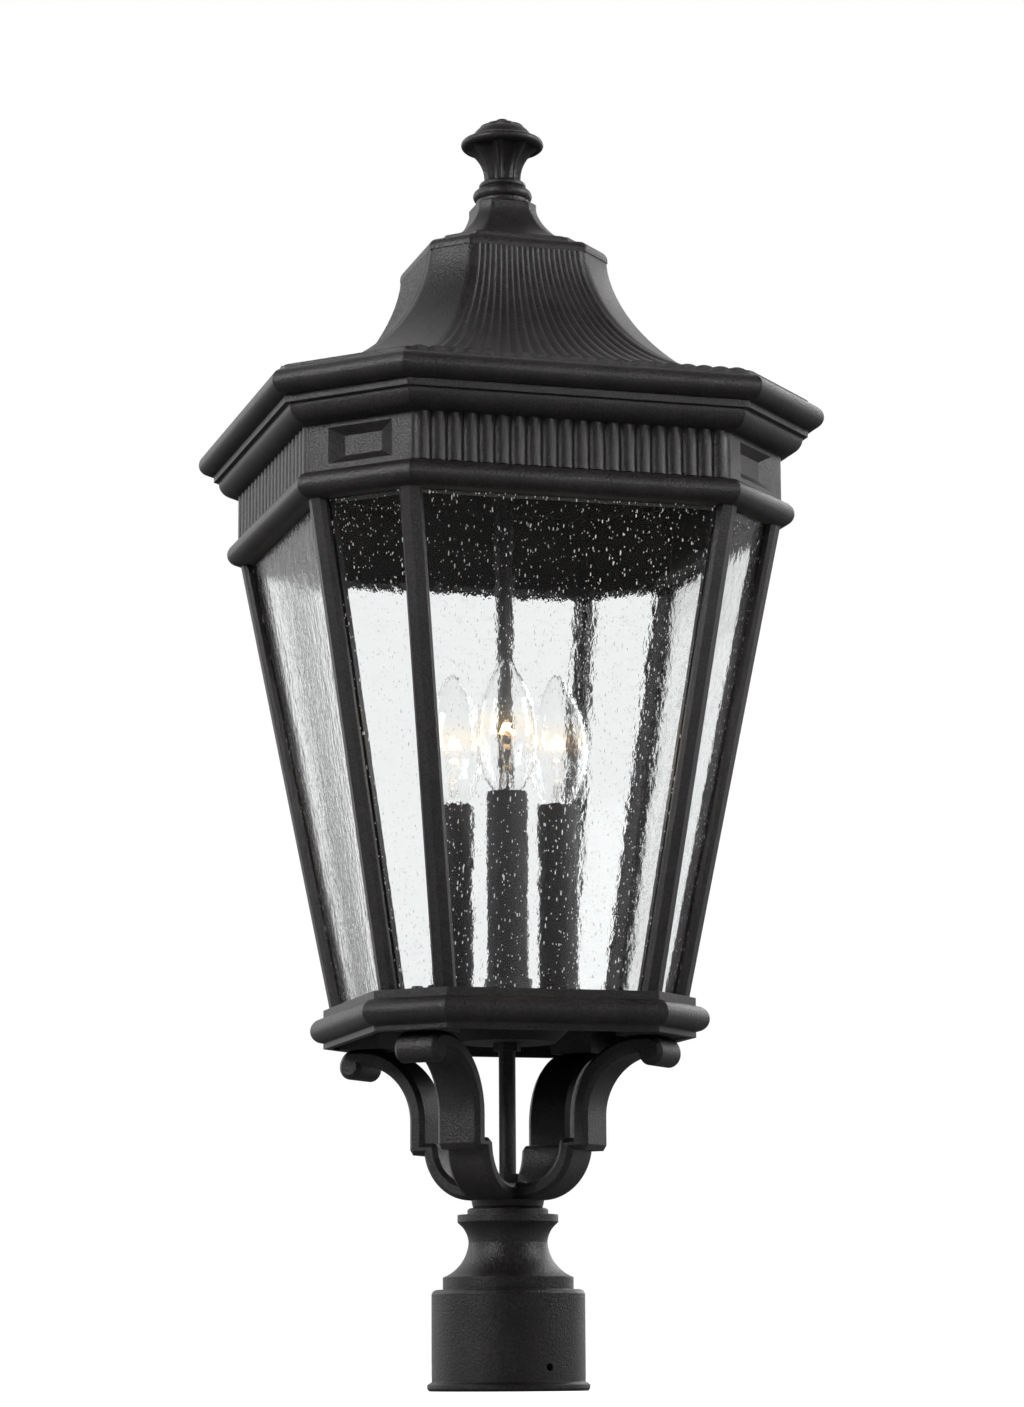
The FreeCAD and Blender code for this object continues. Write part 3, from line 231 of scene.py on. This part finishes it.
def seed_mask(tree, scale, stretch, size, share):
    """Upright drops scattered in the glass: 1 inside a drop, 0 outside.

    scale is the cells to the metre, stretch squeezes the heights and so draws the drops out,
    size is a drop's radius in cells, and share says how many of the cells hold a drop.
    """
    cells = tree.add("ShaderNodeTexVoronoi", feature="F1")
    plug(cells, Vector=tree.stretched(stretch), Scale=scale)
    chosen = tree.math("GREATER_THAN", cells.outputs["Color"], 1 - share)
    near = tree.math("LESS_THAN", cells.outputs["Distance"], size)
    return tree.math("MULTIPLY", chosen, near)


PANE_TINT = (0.935, 0.945, 0.945)
PANE_IOR = 1.15
LEVEL_EDGE = 0.6
PUTTY_GREY = 0.01
SEED_GREY = 0.35
SEED_CLOUD = 0.92
SEED_ROUGHNESS = 0.35
# Painted highlight: how strongly the seeds give off faint white light of their own.
SEED_PAINTED_HIGHLIGHT = 0.32
SEED_RELIEF = 0.4 * MM
RIPPLE_SCALE = 42
RIPPLE_STRETCH = 0.4
RIPPLE_RELIEF = 1.2 * MM
SHIVER_SCALE = 300
SHIVER_STRETCH = 0.5
SHIVER_RELIEF = 0.4 * MM


def seeded_glass(name):
    """Clear drawn glass with upright seeds, a soft ripple, and dark putty on its level edges."""
    tree = Finish(name)
    dots = seed_mask(tree, scale=850, stretch=0.5, size=0.2, share=0.26)
    drops = seed_mask(tree, scale=460, stretch=0.26, size=0.14, share=0.4)
    streaks = seed_mask(tree, scale=260, stretch=0.12, size=0.08, share=0.5)
    seeds = tree.math("MAXIMUM", tree.math("MAXIMUM", dots, drops), streaks)
    seeds = tree.math("MULTIPLY", seeds, tree.math("SUBTRACT", 1.0, tree.facing()))
    slope = tree.math("ABSOLUTE", tree.upward("True Normal"))
    edge = tree.math("GREATER_THAN", slope, LEVEL_EDGE)
    tinted = tree.ramp(seeds, (0.0, PANE_TINT), (1.0, grey(SEED_GREY)))
    clear = tree.math("SUBTRACT", 1.0, tree.math("MULTIPLY", seeds, SEED_CLOUD))
    ripple = tree.noise(RIPPLE_SCALE, where=tree.stretched(RIPPLE_STRETCH))
    shiver = tree.noise(SHIVER_SCALE, detail=3.0, where=tree.stretched(SHIVER_STRETCH))
    soft = tree.bump(ripple, strength=0.5, relief=RIPPLE_RELIEF)
    fine = tree.bump(shiver, strength=0.7, relief=SHIVER_RELIEF, over=soft)
    plug(tree.shader,
         Base_Color=tree.mixed(edge, tinted, grey(PUTTY_GREY)),
         Transmission_Weight=tree.math("MULTIPLY", clear, tree.math("SUBTRACT", 1.0, edge)),
         Roughness=tree.math("MAXIMUM", tree.math("MULTIPLY", seeds, SEED_ROUGHNESS), edge),
         Normal=tree.bump(seeds, strength=0.8, relief=SEED_RELIEF, over=fine),
         # The seeds' white emission is a painted highlight.
         Emission_Color=WHITE,
         Emission_Strength=tree.math("MULTIPLY", seeds, SEED_PAINTED_HIGHLIGHT),
         IOR=PANE_IOR)
    let_lamps_through(tree)
    return tree.owner


# The painted warm light begins at GLOW_EDGE from a hot spot and is full at GLOW_CORE.
GLOW_EDGE = 19 * MM
GLOW_CORE = 12 * MM
PAINTED_GLOW_TINT = (1.0, 0.94, 0.8)
PAINTED_GLOW_COLOUR = (1.0, 0.62, 0.22, 1)
PAINTED_GLOW_STRENGTH = 0.12
BULB_WAVES = 40
BULB_RELIEF = 0.5 * MM
BULB_IOR = 1.3
# Painted shade: the glass's tint darkens towards where it is seen edge on.
BULB_RIM_SHADE = ((0.0, grey(1.0)), (0.8, grey(0.96)), (1.0, grey(0.3)))


def clear_glass(name, hot_spots):
    """Thin blown glass: painted shade where seen edge on, painted warm light by each filament.
    """
    tree = Finish(name)
    reach = 1.0
    for spot in hot_spots:
        away = tree.add("ShaderNodeVectorMath", operation="DISTANCE")
        plug(away, tree.coordinates["Object"], spot)
        reach = tree.math("MINIMUM", away.outputs["Value"], reach)
    painted_glow = tree.map_range(reach, GLOW_EDGE, GLOW_CORE, kind="SMOOTHSTEP")
    # The base colour holds painted shade and painted warm light; the emission is painted light.
    plug(tree.shader,
         Base_Color=tree.mixed(painted_glow, tree.ramp(tree.facing(), *BULB_RIM_SHADE), PAINTED_GLOW_TINT),
         Emission_Color=PAINTED_GLOW_COLOUR,
         Emission_Strength=tree.math("MULTIPLY", painted_glow, PAINTED_GLOW_STRENGTH),
         Normal=tree.bump(tree.noise(BULB_WAVES, detail=1.0), strength=0.1, relief=BULB_RELIEF),
         Transmission_Weight=1.0, Roughness=0.0, IOR=BULB_IOR)
    let_lamps_through(tree)
    return tree.owner


WIRE_GRAIN = 500
WIRE_COLOUR = (1.0, 0.7, 0.35, 1)
WIRE_HEAT = ((0.3, (1.0, 0.5, 0.16)), (0.7, (1.0, 0.72, 0.36)))
WIRE_GLOW = 30.0


def hot_wire(name):
    """A glowing filament, yellower where the noise peaks."""
    tree = Finish(name)
    heat = tree.noise(WIRE_GRAIN, detail=1.0)
    plug(tree.shader,
         Base_Color=WIRE_COLOUR,
         Emission_Color=tree.ramp(heat, *WIRE_HEAT),
         Emission_Strength=WIRE_GLOW)
    return tree.owner


SIDES = ("front", "right", "left")


def filament_top(side):
    """The middle of a filament's bend, at the top of its node."""
    low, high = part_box(f"filament_{side}")
    return Vector(((low[0] + high[0]) / 2, (low[1] + high[1]) / 2, high[2]))


HOT_SPOTS = [filament_top(side) for side in SIDES]
STEEL_BLACK = (0.003, 0.0026, 0.0026)
COATS = {
    "black_casting": powder_coat("powder_coat", dark=(0.0028, 0.0021, 0.0021),
                                 light=(0.0150, 0.0125, 0.0125)),
    "dark_steel": powder_coat("blackened_steel", dark=STEEL_BLACK, light=(0.010, 0.009, 0.009),
                              roughness=0.34),
    "sleeve": powder_coat("candle_sleeve", dark=STEEL_BLACK, light=(0.009, 0.008, 0.008),
                          roughness=0.6, gloss=0.3),
    "socket": powder_coat("socket_shell", dark=(0.02, 0.018, 0.016),
                          light=(0.04, 0.036, 0.032)),
    "seeded_glass": seeded_glass("seeded_glass"),
    "bulb_glass": clear_glass("bulb_glass", HOT_SPOTS),
    "bulb_cap": plain_metal("bulb_cap", (0.78, 0.62, 0.32), roughness=0.3),
    "filament": hot_wire("filament"),
}
LEAD = plain_metal("lead_wire", (0.5, 0.46, 0.4), roughness=0.35)
PRESS = clear_glass("press_glass", HOT_SPOTS)
for entry in RECORD["subparts"]:
    for holder in NODES[entry["node"]].material_slots:
        holder.material = COATS[entry["material_slot"]]


# ---------------------------------------------------------------- objects and meshes

def add_object(name, data, place=(0, 0, 0)):
    """An object in the scene, at a place in metres."""
    item = bpy.data.objects.new(name, data)
    item.location = place
    bpy.context.collection.objects.link(item)
    return item


def add_piece(name, data, material, body):
    """A piece of the lantern, which rides on a body."""
    data.materials.append(material)
    item = add_object(name, data)
    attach(item, body)
    return item


def skin(name, rings, hollow=False):
    """A smooth closed mesh over rings of points in metres, all with the same number of points.

    A hollow one closes from its last ring to its first; the ends of a solid one are capped.
    """
    count = len(rings[0])
    vertices = [point for ring in rings for point in ring]
    faces = []
    for level in range(len(rings) if hollow else len(rings) - 1):
        low, high = level * count, (level + 1) % len(rings) * count
        for step in range(count):
            after = (step + 1) % count
            faces.append((low + step, low + after, high + after, high + step))
    if not hollow:
        faces.append(tuple(reversed(range(count))))
        faces.append(tuple(range(len(vertices) - count, len(vertices))))
    mesh = bpy.data.meshes.new(name)
    mesh.from_pydata(vertices, [], faces)
    mesh.polygons.foreach_set("use_smooth", [True] * len(mesh.polygons))
    return mesh


# ---------------------------------------------------------------- inside the bulbs

def wire(name, paths, radius, material, body):
    """Round wire along smooth paths, as one curve object."""
    curve = bpy.data.curves.new(name, "CURVE")
    curve.dimensions = "3D"
    curve.bevel_depth = radius
    curve.bevel_resolution = 3
    curve.use_fill_caps = True
    for points in paths:
        spline = curve.splines.new("NURBS")
        spline.points.add(len(points) - 1)
        for knot, point in zip(spline.points, points):
            knot.co = (*point, 1)
        spline.order_u = 3
        spline.use_endpoint_u = True
    return add_piece(name, curve, material, body)


PRESS_HEIGHT = 13 * MM
PRESS_SIDES = 32
LEAD_RADIUS = 0.28 * MM
COIL_TURNS = 14
COIL_STEPS = 6
COIL_RADIUS = 0.55 * MM
COIL_WIRE = 0.16 * MM
SPAN_HALF = 3.3 * MM
ARCH_RISE = 3.6 * MM


def bulb_inside(side):
    """The glass press, two lead wires and the coiled filament of a bulb."""
    body = f"bulb_{side}"
    top = filament_top(side)
    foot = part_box(f"filament_{side}")[0][2]
    neck = foot + PRESS_HEIGHT
    profile = [(4.6 * MM, foot + 0.3 * MM), (4.2 * MM, foot + 2 * MM), (3.0 * MM, foot + 5 * MM),
               (2.5 * MM, neck - 2 * MM), (1.6 * MM, neck)]
    turns = [2 * math.pi * step / PRESS_SIDES for step in range(PRESS_SIDES)]
    rings = [[(top.x + radius * math.cos(turn), top.y + radius * math.sin(turn), height)
              for turn in turns] for radius, height in profile]
    name = f"press_{side}"
    add_piece(name, skin(name, rings), PRESS, body)

    ends = top.z - COIL_RADIUS - ARCH_RISE
    route = [(1.2 * MM, foot + 6 * MM), (1.3 * MM, neck + 2 * MM), (2.4 * MM, neck + 9 * MM),
             (SPAN_HALF, ends - 3 * MM), (SPAN_HALF, ends + 0.8 * MM)]
    leads = [[(top.x + way * out, top.y, height) for out, height in route] for way in (-1, 1)]
    wire(f"leads_{side}", leads, LEAD_RADIUS, LEAD, body)

    coil = []
    for step in range(COIL_TURNS * COIL_STEPS + 1):
        bend = math.pi * (1 - step / (COIL_TURNS * COIL_STEPS))
        turn = 2 * math.pi * step / COIL_STEPS
        out = SPAN_HALF * math.cos(bend) * (1 + COIL_RADIUS * math.cos(turn) / SPAN_HALF)
        rise = ends + (ARCH_RISE + COIL_RADIUS * math.cos(turn)) * math.sin(bend)
        coil.append((top.x + out, top.y + COIL_RADIUS * math.sin(turn), rise))
    piece = wire(f"coil_{side}", [coil], COIL_WIRE, COATS["filament"], body)
    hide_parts(f"filament_{side}")


for side in SIDES:
    bulb_inside(side)


# ---------------------------------------------------------------- roof, crown and finial
# The rings of these castings, and the sizes below, are in millimetres.

SHARP_DEGREES = 38
STEM_HOLE = 5.2
REEDS = 20
REED_STEPS = 6
FILLET_STEPS = 4


def casting(name, rings, node, body, hollow=True):
    """A casting skinned over rings, which stands for a node."""
    rings = [[tuple(MM * value for value in point) for point in ring] for ring in rings]
    mesh = skin(name, rings, hollow)
    mesh.set_sharp_from_angle(angle=math.radians(SHARP_DEGREES))
    item = add_piece(name, mesh, COATS["black_casting"], body)
    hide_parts(node)


def flare(share, power):
    """A concave curve from 1 at share 0 to 0 at share 1, upright at its upper end."""
    return max(1 - share ** power, 0) ** (1 / power)


def arc_points(centre, radius, first, last, steps):
    """Points of a profile along an arc; the angles are in degrees from straight out."""
    angles = [math.radians(first + (last - first) * step / steps) for step in range(steps + 1)]
    return [(centre[0] + radius * math.cos(angle), centre[1] + radius * math.sin(angle))
            for angle in angles]


def reeded_ring(face, side, height, lift=0.0, out=1.0, up=0.0, soft=2.0):
    """A closed octagonal ring: a row of reeds on each long side, and rounded corners.

    face is how far a long side is from the axis and side its half width. A reed's crest stands
    out by lift, in the direction (out, up), and soft is the length that a corner rounds off.
    """
    quarter = []
    span = 2 * (side - soft)
    for step in range(REEDS * REED_STEPS + 1):
        across = 2 * (step % REED_STEPS) / REED_STEPS - 1
        rise = lift * (1 - across ** 2)
        quarter.append((face + rise * out, -span / 2 + span * step / (REEDS * REED_STEPS),
                        height + rise * up))
    slant = soft / math.sqrt(2)
    first = ((face, side - soft), (face, side), (face - slant, side + slant))
    second = ((side + slant, face - slant), (side, face), (side - soft, face))
    for bend, steps in ((first, range(1, FILLET_STEPS + 1)), (second, range(FILLET_STEPS))):
        for step in steps:
            share = step / FILLET_STEPS
            weights = ((1 - share) ** 2, 2 * share * (1 - share), share ** 2)
            x, y = (sum(w * p[axis] for w, p in zip(weights, bend)) for axis in (0, 1))
            quarter.append((x, y, height))
    ring = []
    for c, s in ((1, 0), (0, 1), (-1, 0), (0, -1)):
        ring += [(c * x - s * y, s * x + c * y, z) for x, y, z in quarter]
    return ring


def round_ring(like, radius, height):
    """A circle whose points lie at the angles of another ring's points."""
    return [(radius * x / math.hypot(x, y), radius * y / math.hypot(x, y), height)
            for x, y, _ in like]


# A long side's distance from the axis and its half width, at the bell's foot, at its head, and
# inside the eave. The inner shares are heights of the bell's inside, as shares of the whole.
ROOF_FOOT = (151.0, 97.0)
ROOF_HEAD = (53.0, 34.0)
EAVE_INNER = (140.0, 93.0)
ROOF_RIM = 2.7
ROOF_CURVE = 0.63
ROOF_LEVELS = 32
ROOF_SOFT = 3.0
ROOF_WALL = 3.0
INNER_SHARES = (1.0, 0.8, 0.6, 0.42, 0.28, 0.17, 0.1)
RIM_LIFT = 0.3
REED_SHARE = 0.16
REED_MOST = 1.1
LEAN_STEP = 0.005


def make_roof():
    """The bell roof: a thin shell with a smooth concave side and shallow reeds that fan out."""
    low, high = (corner[2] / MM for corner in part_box("roof_bell"))
    base = low + ROOF_RIM

    def level(share):
        """How far the long side is from the axis, its half width and its height."""
        width = flare(share, ROOF_CURVE)
        return (ROOF_HEAD[0] + (ROOF_FOOT[0] - ROOF_HEAD[0]) * width,
                ROOF_HEAD[1] + (ROOF_FOOT[1] - ROOF_HEAD[1]) * width,
                base + (high - base) * share)

    def lean(share):
        """The outward and upward parts of the bell's normal."""
        lower, upper = level(max(share - LEAN_STEP, 0)), level(min(share + LEAN_STEP, 1))
        run, rise = lower[0] - upper[0], upper[2] - lower[2]
        return rise / math.hypot(run, rise), run / math.hypot(run, rise)

    rings = [reeded_ring(*ROOF_FOOT, low, RIM_LIFT)]
    for step in range(ROOF_LEVELS + 1):
        share = (step / ROOF_LEVELS) ** 2
        face, side, height = level(share)
        out, up = (1.0, 0.0) if step == ROOF_LEVELS else lean(share)
        lift = min(REED_SHARE * 2 * side / REEDS, REED_MOST)
        rings.append(reeded_ring(face, side, height, lift, out, up, ROOF_SOFT))
    rings.append(round_ring(rings[-1], STEM_HOLE, high))
    rings.append(round_ring(rings[-1], STEM_HOLE, high - ROOF_WALL))
    for share in INNER_SHARES:
        face, side, height = level(share)
        out, up = (1.0, 1.0) if share == 1.0 else lean(share)
        inset = ROOF_WALL * out
        rings.append(reeded_ring(face - inset, side - inset * (math.sqrt(2) - 1),
                                 height - ROOF_WALL * up))
    rings.append(reeded_ring(*EAVE_INNER, low))
    casting("roof_skin", rings, "roof_bell", "roof")


CROWN_RATIO = 0.65
PAGODA_STEPS = 16
PAGODA_SPACING = 1.6
PAGODA_CURVE = 0.7
PAGODA_SPREAD = 20.6
COLLAR = 17.4
COLLAR_SOFT = 1.4


def make_crown():
    """The crown: a rounded band, a thin plate and a small pagoda roof with a collar."""
    low, high = (corner[2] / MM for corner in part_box("crown_cap"))
    lid, plate_top, foot, head = low + 8.8, low + 11.5, low + 13.0, low + 35.5
    ceiling = foot + 14.0

    def ring(face, height, soft=1.0):
        return reeded_ring(face, face * CROWN_RATIO, height, soft=soft)

    band = [(53.0, low)] + arc_points((47.0, low + 1.6), 6.0, 0, 55, 5)
    band += [(46.6, low + 6.6), (42.6, low + 7.2), (40.6, low + 8.0), (40.2, lid)]
    plate = [(41.5, lid), (41.9, lid + 0.4), (41.9, plate_top - 0.4), (41.5, plate_top),
             (38.0, plate_top)]
    rings = [ring(face, height) for face, height in band + plate]
    for step in range(PAGODA_STEPS + 1):
        share = (step / PAGODA_STEPS) ** PAGODA_SPACING
        face = COLLAR + PAGODA_SPREAD * flare(share, PAGODA_CURVE)
        rings.append(ring(face, foot + (head - foot) * share, COLLAR_SOFT))
    rings.append(ring(COLLAR, high - 1.5, COLLAR_SOFT))
    rings.append(ring(14.5, high, COLLAR_SOFT))
    rings.append(round_ring(rings[-1], STEM_HOLE, high))
    rings.append(round_ring(rings[-1], STEM_HOLE, ceiling))
    rings += [ring(13.4, ceiling), ring(30.0, plate_top - 1.0), ring(35.5, low)]
    casting("crown_skin", rings, "crown_cap", "roof")


FLUTES = 8
FINIAL_STEPS = 24 * FLUTES
FLUTE_DEPTH = 3.1
FLUTE_SHARE = 0.84
FLUTE_CURVE = 0.6
GROOVE_START = 0.93
GROOVE_DEPTH = 0.5
LEAF_HOLLOW = 10.2
LEAF_TIP = 3.6
LEAF_CURVE = 0.7
LEAF_HEIGHT = 1.0
LEAF_SLOPE = 1.1
VEIN_DEPTH = 0.35
VEIN_WIDTH = 0.22


def plain(radius, _):
    """The relief of a plain turned form: its radius, and no lift."""
    return radius, 0.0


def fluted(radius, turn):
    """Hollow flutes between raised bands, each band with a fine groove along its middle.

    away is 0 at the middle of a flute and 1 halfway to the next.
    """
    away = abs(2 * ((turn * FLUTES / (2 * math.pi) + 0.5) % 1) - 1)
    across = min(away / FLUTE_SHARE, 1)
    groove = max(0.0, away - GROOVE_START) / (1 - GROOVE_START)
    return radius - FLUTE_DEPTH * (1 - across ** 2) ** FLUTE_CURVE - GROOVE_DEPTH * groove, 0.0


def leafy(radius, turn):
    """Low leaves that spread from the middle of the dome, each with a vein."""
    tip = 0.5 + 0.5 * math.cos(FLUTES * turn)
    edge = LEAF_HOLLOW + LEAF_TIP * tip ** LEAF_CURVE
    raised = min(max((edge - radius) / LEAF_SLOPE, 0), 1)
    vein = VEIN_DEPTH * max(0.0, 1 - abs(math.sin(FLUTES * turn / 2)) / VEIN_WIDTH)
    return radius, LEAF_HEIGHT * raised * raised * (3 - 2 * raised) - vein * raised


def turned_rings(points, relief=plain):
    """Rings about the axis through (radius, height) points, carved by a relief."""
    rings = []
    for radius, height in points:
        ring = []
        for step in range(FINIAL_STEPS):
            turn = 2 * math.pi * step / FINIAL_STEPS
            reach, lift = relief(radius, turn)
            ring.append((reach * math.cos(turn), reach * math.sin(turn), height + lift))
        rings.append(ring)
    return rings


THREAD_HOLE = 4.85
HOLE_SPARE = 0.8
CUP_STEPS = 14
CUP_CURVE = 2.4
DOME_STEPS = 18
DOME_CURVE = 0.85


def make_finial():
    """The finial: two beads, a fluted cup, a rolled rim and a leafy dome with a button."""
    low, high = (corner[2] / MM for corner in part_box("finial"))
    hole_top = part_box("stem_tube")[1][2] / MM + HOLE_SPARE
    foot = [(THREAD_HOLE, hole_top), (THREAD_HOLE, low), (15.0, low), (15.4, low + 1.6)]
    foot += arc_points((13.6, low + 5.6), 3.6, -62, 78, 10)
    foot += [(13.0, low + 9.6)]
    foot += arc_points((11.7, low + 11.7), 2.0, -60, 75, 8)
    foot += [(10.6, low + 14.0)]
    cup = []
    for step in range(CUP_STEPS + 1):
        share = step / CUP_STEPS
        cup.append((10.6 + 9.8 * share ** CUP_CURVE, low + 15.0 + 19.0 * share))
    rim = [(19.4, low + 34.6)] + arc_points((21.6, low + 36.9), 2.5, -120, 165, 18)
    dome = []
    for step in range(DOME_STEPS + 1):
        angle = step / DOME_STEPS * math.pi / 2
        dome.append((4.2 + 13.8 * max(math.cos(angle), 0) ** DOME_CURVE,
                     low + 38.4 + 10.5 * math.sin(angle)))
    button = [(4.1, high - 2.2), (4.0, high - 1.5), (3.2, high - 0.6), (1.8, high - 0.1),
              (0.3, high)]
    rings = turned_rings(foot) + turned_rings(cup, fluted) + turned_rings(rim)
    rings += turned_rings(dome, leafy) + turned_rings(button)
    casting("finial_skin", rings, "finial", "finial", hollow=False)


make_roof()
make_crown()
make_finial()


# ---------------------------------------------------------------- floor and world

# What the coat mirrors, where white is 1: MIRRORED_FRONT of the room on the camera's side, and
# FLOOR_MIRRORED of the floor behind the lantern. Each of them fades over the span given for it.
FLOOR_HALF = 30.0
FLOOR_DROP = 0.2 * MM
FLOOR_GREY = 0.6
FLOOR_GLOW = 0.85
FLOOR_MIRRORED = 0.12
FLOOR_FADE = 0.6
WORLD_LEVEL = 0.32
MIRRORED_FRONT = 0.095
MIRRORED_SPAN = (-0.45, 0.05)
MIRRORED_TILT = -0.6


def make_floor():
    """A plain pale floor under the lantern, white to the camera but for its shadow."""
    mesh = bpy.data.meshes.new("floor")
    half = FLOOR_HALF
    corners = [(-half, -half, 0), (half, -half, 0), (half, half, 0), (-half, half, 0)]
    mesh.from_pydata(corners, [], [(0, 1, 2, 3)])
    floor = add_object("floor", mesh, (0, 0, -FLOOR_DROP))
    tree = Finish("floor")
    rays = tree.rays()
    white = tree.math("MAXIMUM", rays["Is Camera Ray"], rays["Is Transmission Ray"])
    depth = tree.parts(tree.coordinates["Object"])["Y"]
    behind = tree.map_range(depth, -FLOOR_FADE, FLOOR_FADE, to_max=FLOOR_MIRRORED)
    seen = tree.math("MAXIMUM", white, tree.math("MULTIPLY", rays["Is Glossy Ray"], behind))
    plug(tree.shader,
         Base_Color=(*grey(FLOOR_GREY), 1), Roughness=1.0, Specular_IOR_Level=0.0,
         Emission_Color=WHITE, Emission_Strength=tree.math("MULTIPLY", seen, FLOOR_GLOW))
    mesh.materials.append(tree.owner)


def make_world():
    """White behind the lantern and in its glass, darker where the coat mirrors the near side."""
    world = bpy.data.worlds.new("studio")
    bpy.context.scene.world = world
    tree = Tree(world)
    rays = tree.rays()
    way = tree.parts(tree.coordinates["Generated"])
    depth = tree.math("MULTIPLY_ADD", way["Z"], MIRRORED_TILT, way["Y"])
    mirrored = tree.map_range(depth, *MIRRORED_SPAN, to_min=MIRRORED_FRONT)
    level = tree.map_range(rays["Is Glossy Ray"], 0.0, 1.0, WORLD_LEVEL, mirrored)
    for kind in ("Is Transmission Ray", "Is Camera Ray"):
        level = tree.map_range(rays[kind], 0.0, 1.0, level, 1.0)
    plug(tree.nodes["Background"], Color=WHITE, Strength=level)


make_floor()
make_world()


# ---------------------------------------------------------------- lamps

def soft_box(name, place, aim, size, watts, spread=180):
    """A rectangular lamp that faces a point; the spread of its beam is in degrees."""
    lamp = bpy.data.lights.new(name, "AREA")
    lamp.shape = "RECTANGLE"
    lamp.size, lamp.size_y = size
    lamp.energy = watts
    lamp.spread = math.radians(spread)
    item = add_object(name, lamp, place)
    item.rotation_euler = (Vector(aim) - Vector(place)).to_track_quat("-Z", "Y").to_euler()


SPARK_WATTS = 0.015
SPARK_COLOUR = (1.0, 0.72, 0.4)
SPARK_RADIUS = 2 * MM


def warm_spark(name, place):
    """The light of a filament on what stands near it."""
    lamp = bpy.data.lights.new(name, "POINT")
    lamp.energy = SPARK_WATTS
    lamp.color = SPARK_COLOUR
    lamp.shadow_soft_size = SPARK_RADIUS
    add_object(name, lamp, place)


# The lamps, and where they aim.
ROOF_MIDDLE = (0, 0, 0.62)
CAGE_MIDDLE = (0, 0, 0.38)
FRAME_FRONT = (0, -0.1, 0.46)
FINIAL_FOOT = (0, 0, 0.69)
soft_box("key", (-2.05, -0.8, 1.5), ROOF_MIDDLE, size=(1.0, 1.1), watts=4.4, spread=40)
soft_box("fill", (2.05, -0.65, 1.5), ROOF_MIDDLE, size=(1.0, 1.1), watts=4.0, spread=40)
soft_box("front", (1.1, -2.1, 0.9), FRAME_FRONT, size=(0.4, 0.4), watts=0.2, spread=12)
soft_box("crown", (0.5, -2.3, 1.0), FINIAL_FOOT, size=(0.3, 0.3), watts=0.05, spread=8)
soft_box("back_left", (-1.4, 1.5, 1.0), CAGE_MIDDLE, size=(0.5, 1.4), watts=10)
soft_box("back_right", (1.5, 1.4, 1.0), CAGE_MIDDLE, size=(0.5, 1.4), watts=12)
for side, spot in zip(SIDES, HOT_SPOTS):
    warm_spark(f"spark_{side}", spot)


# ---------------------------------------------------------------- camera

# The camera of the photo, from the vanishing of the lantern's long faces and its level rims.
FRAME_HEIGHT_PX = 1407
FOCAL_PX = 3690.9
SENSOR_MM = 36.0
PITCH = 0.1762
YAW = 0.2815
ROLL = -0.0056
CAMERA_PLACE = (-0.5703, -1.9861, 0.0164)


def make_camera():
    """The photo's camera; its frame is upright, so the sensor's width stands for the height."""
    data = bpy.data.cameras.new("camera")
    data.sensor_fit = "AUTO"
    data.sensor_width = SENSOR_MM
    data.lens = FOCAL_PX / FRAME_HEIGHT_PX * SENSOR_MM
    camera = add_object("camera", data)
    forward = Vector((math.sin(YAW) * math.cos(PITCH), math.cos(YAW) * math.cos(PITCH),
                      math.sin(PITCH)))
    right = forward.cross(Vector((0, 0, 1))).normalized()
    up = right.cross(forward)
    turned_right = right * math.cos(ROLL) + up * math.sin(ROLL)
    turned_up = up * math.cos(ROLL) - right * math.sin(ROLL)
    camera.matrix_world = Matrix.Translation(CAMERA_PLACE) @ Matrix(
        (turned_right, turned_up, -forward)).transposed().to_4x4()
    bpy.context.scene.camera = camera


make_camera()
bpy.context.scene.view_settings.view_transform = "Standard"
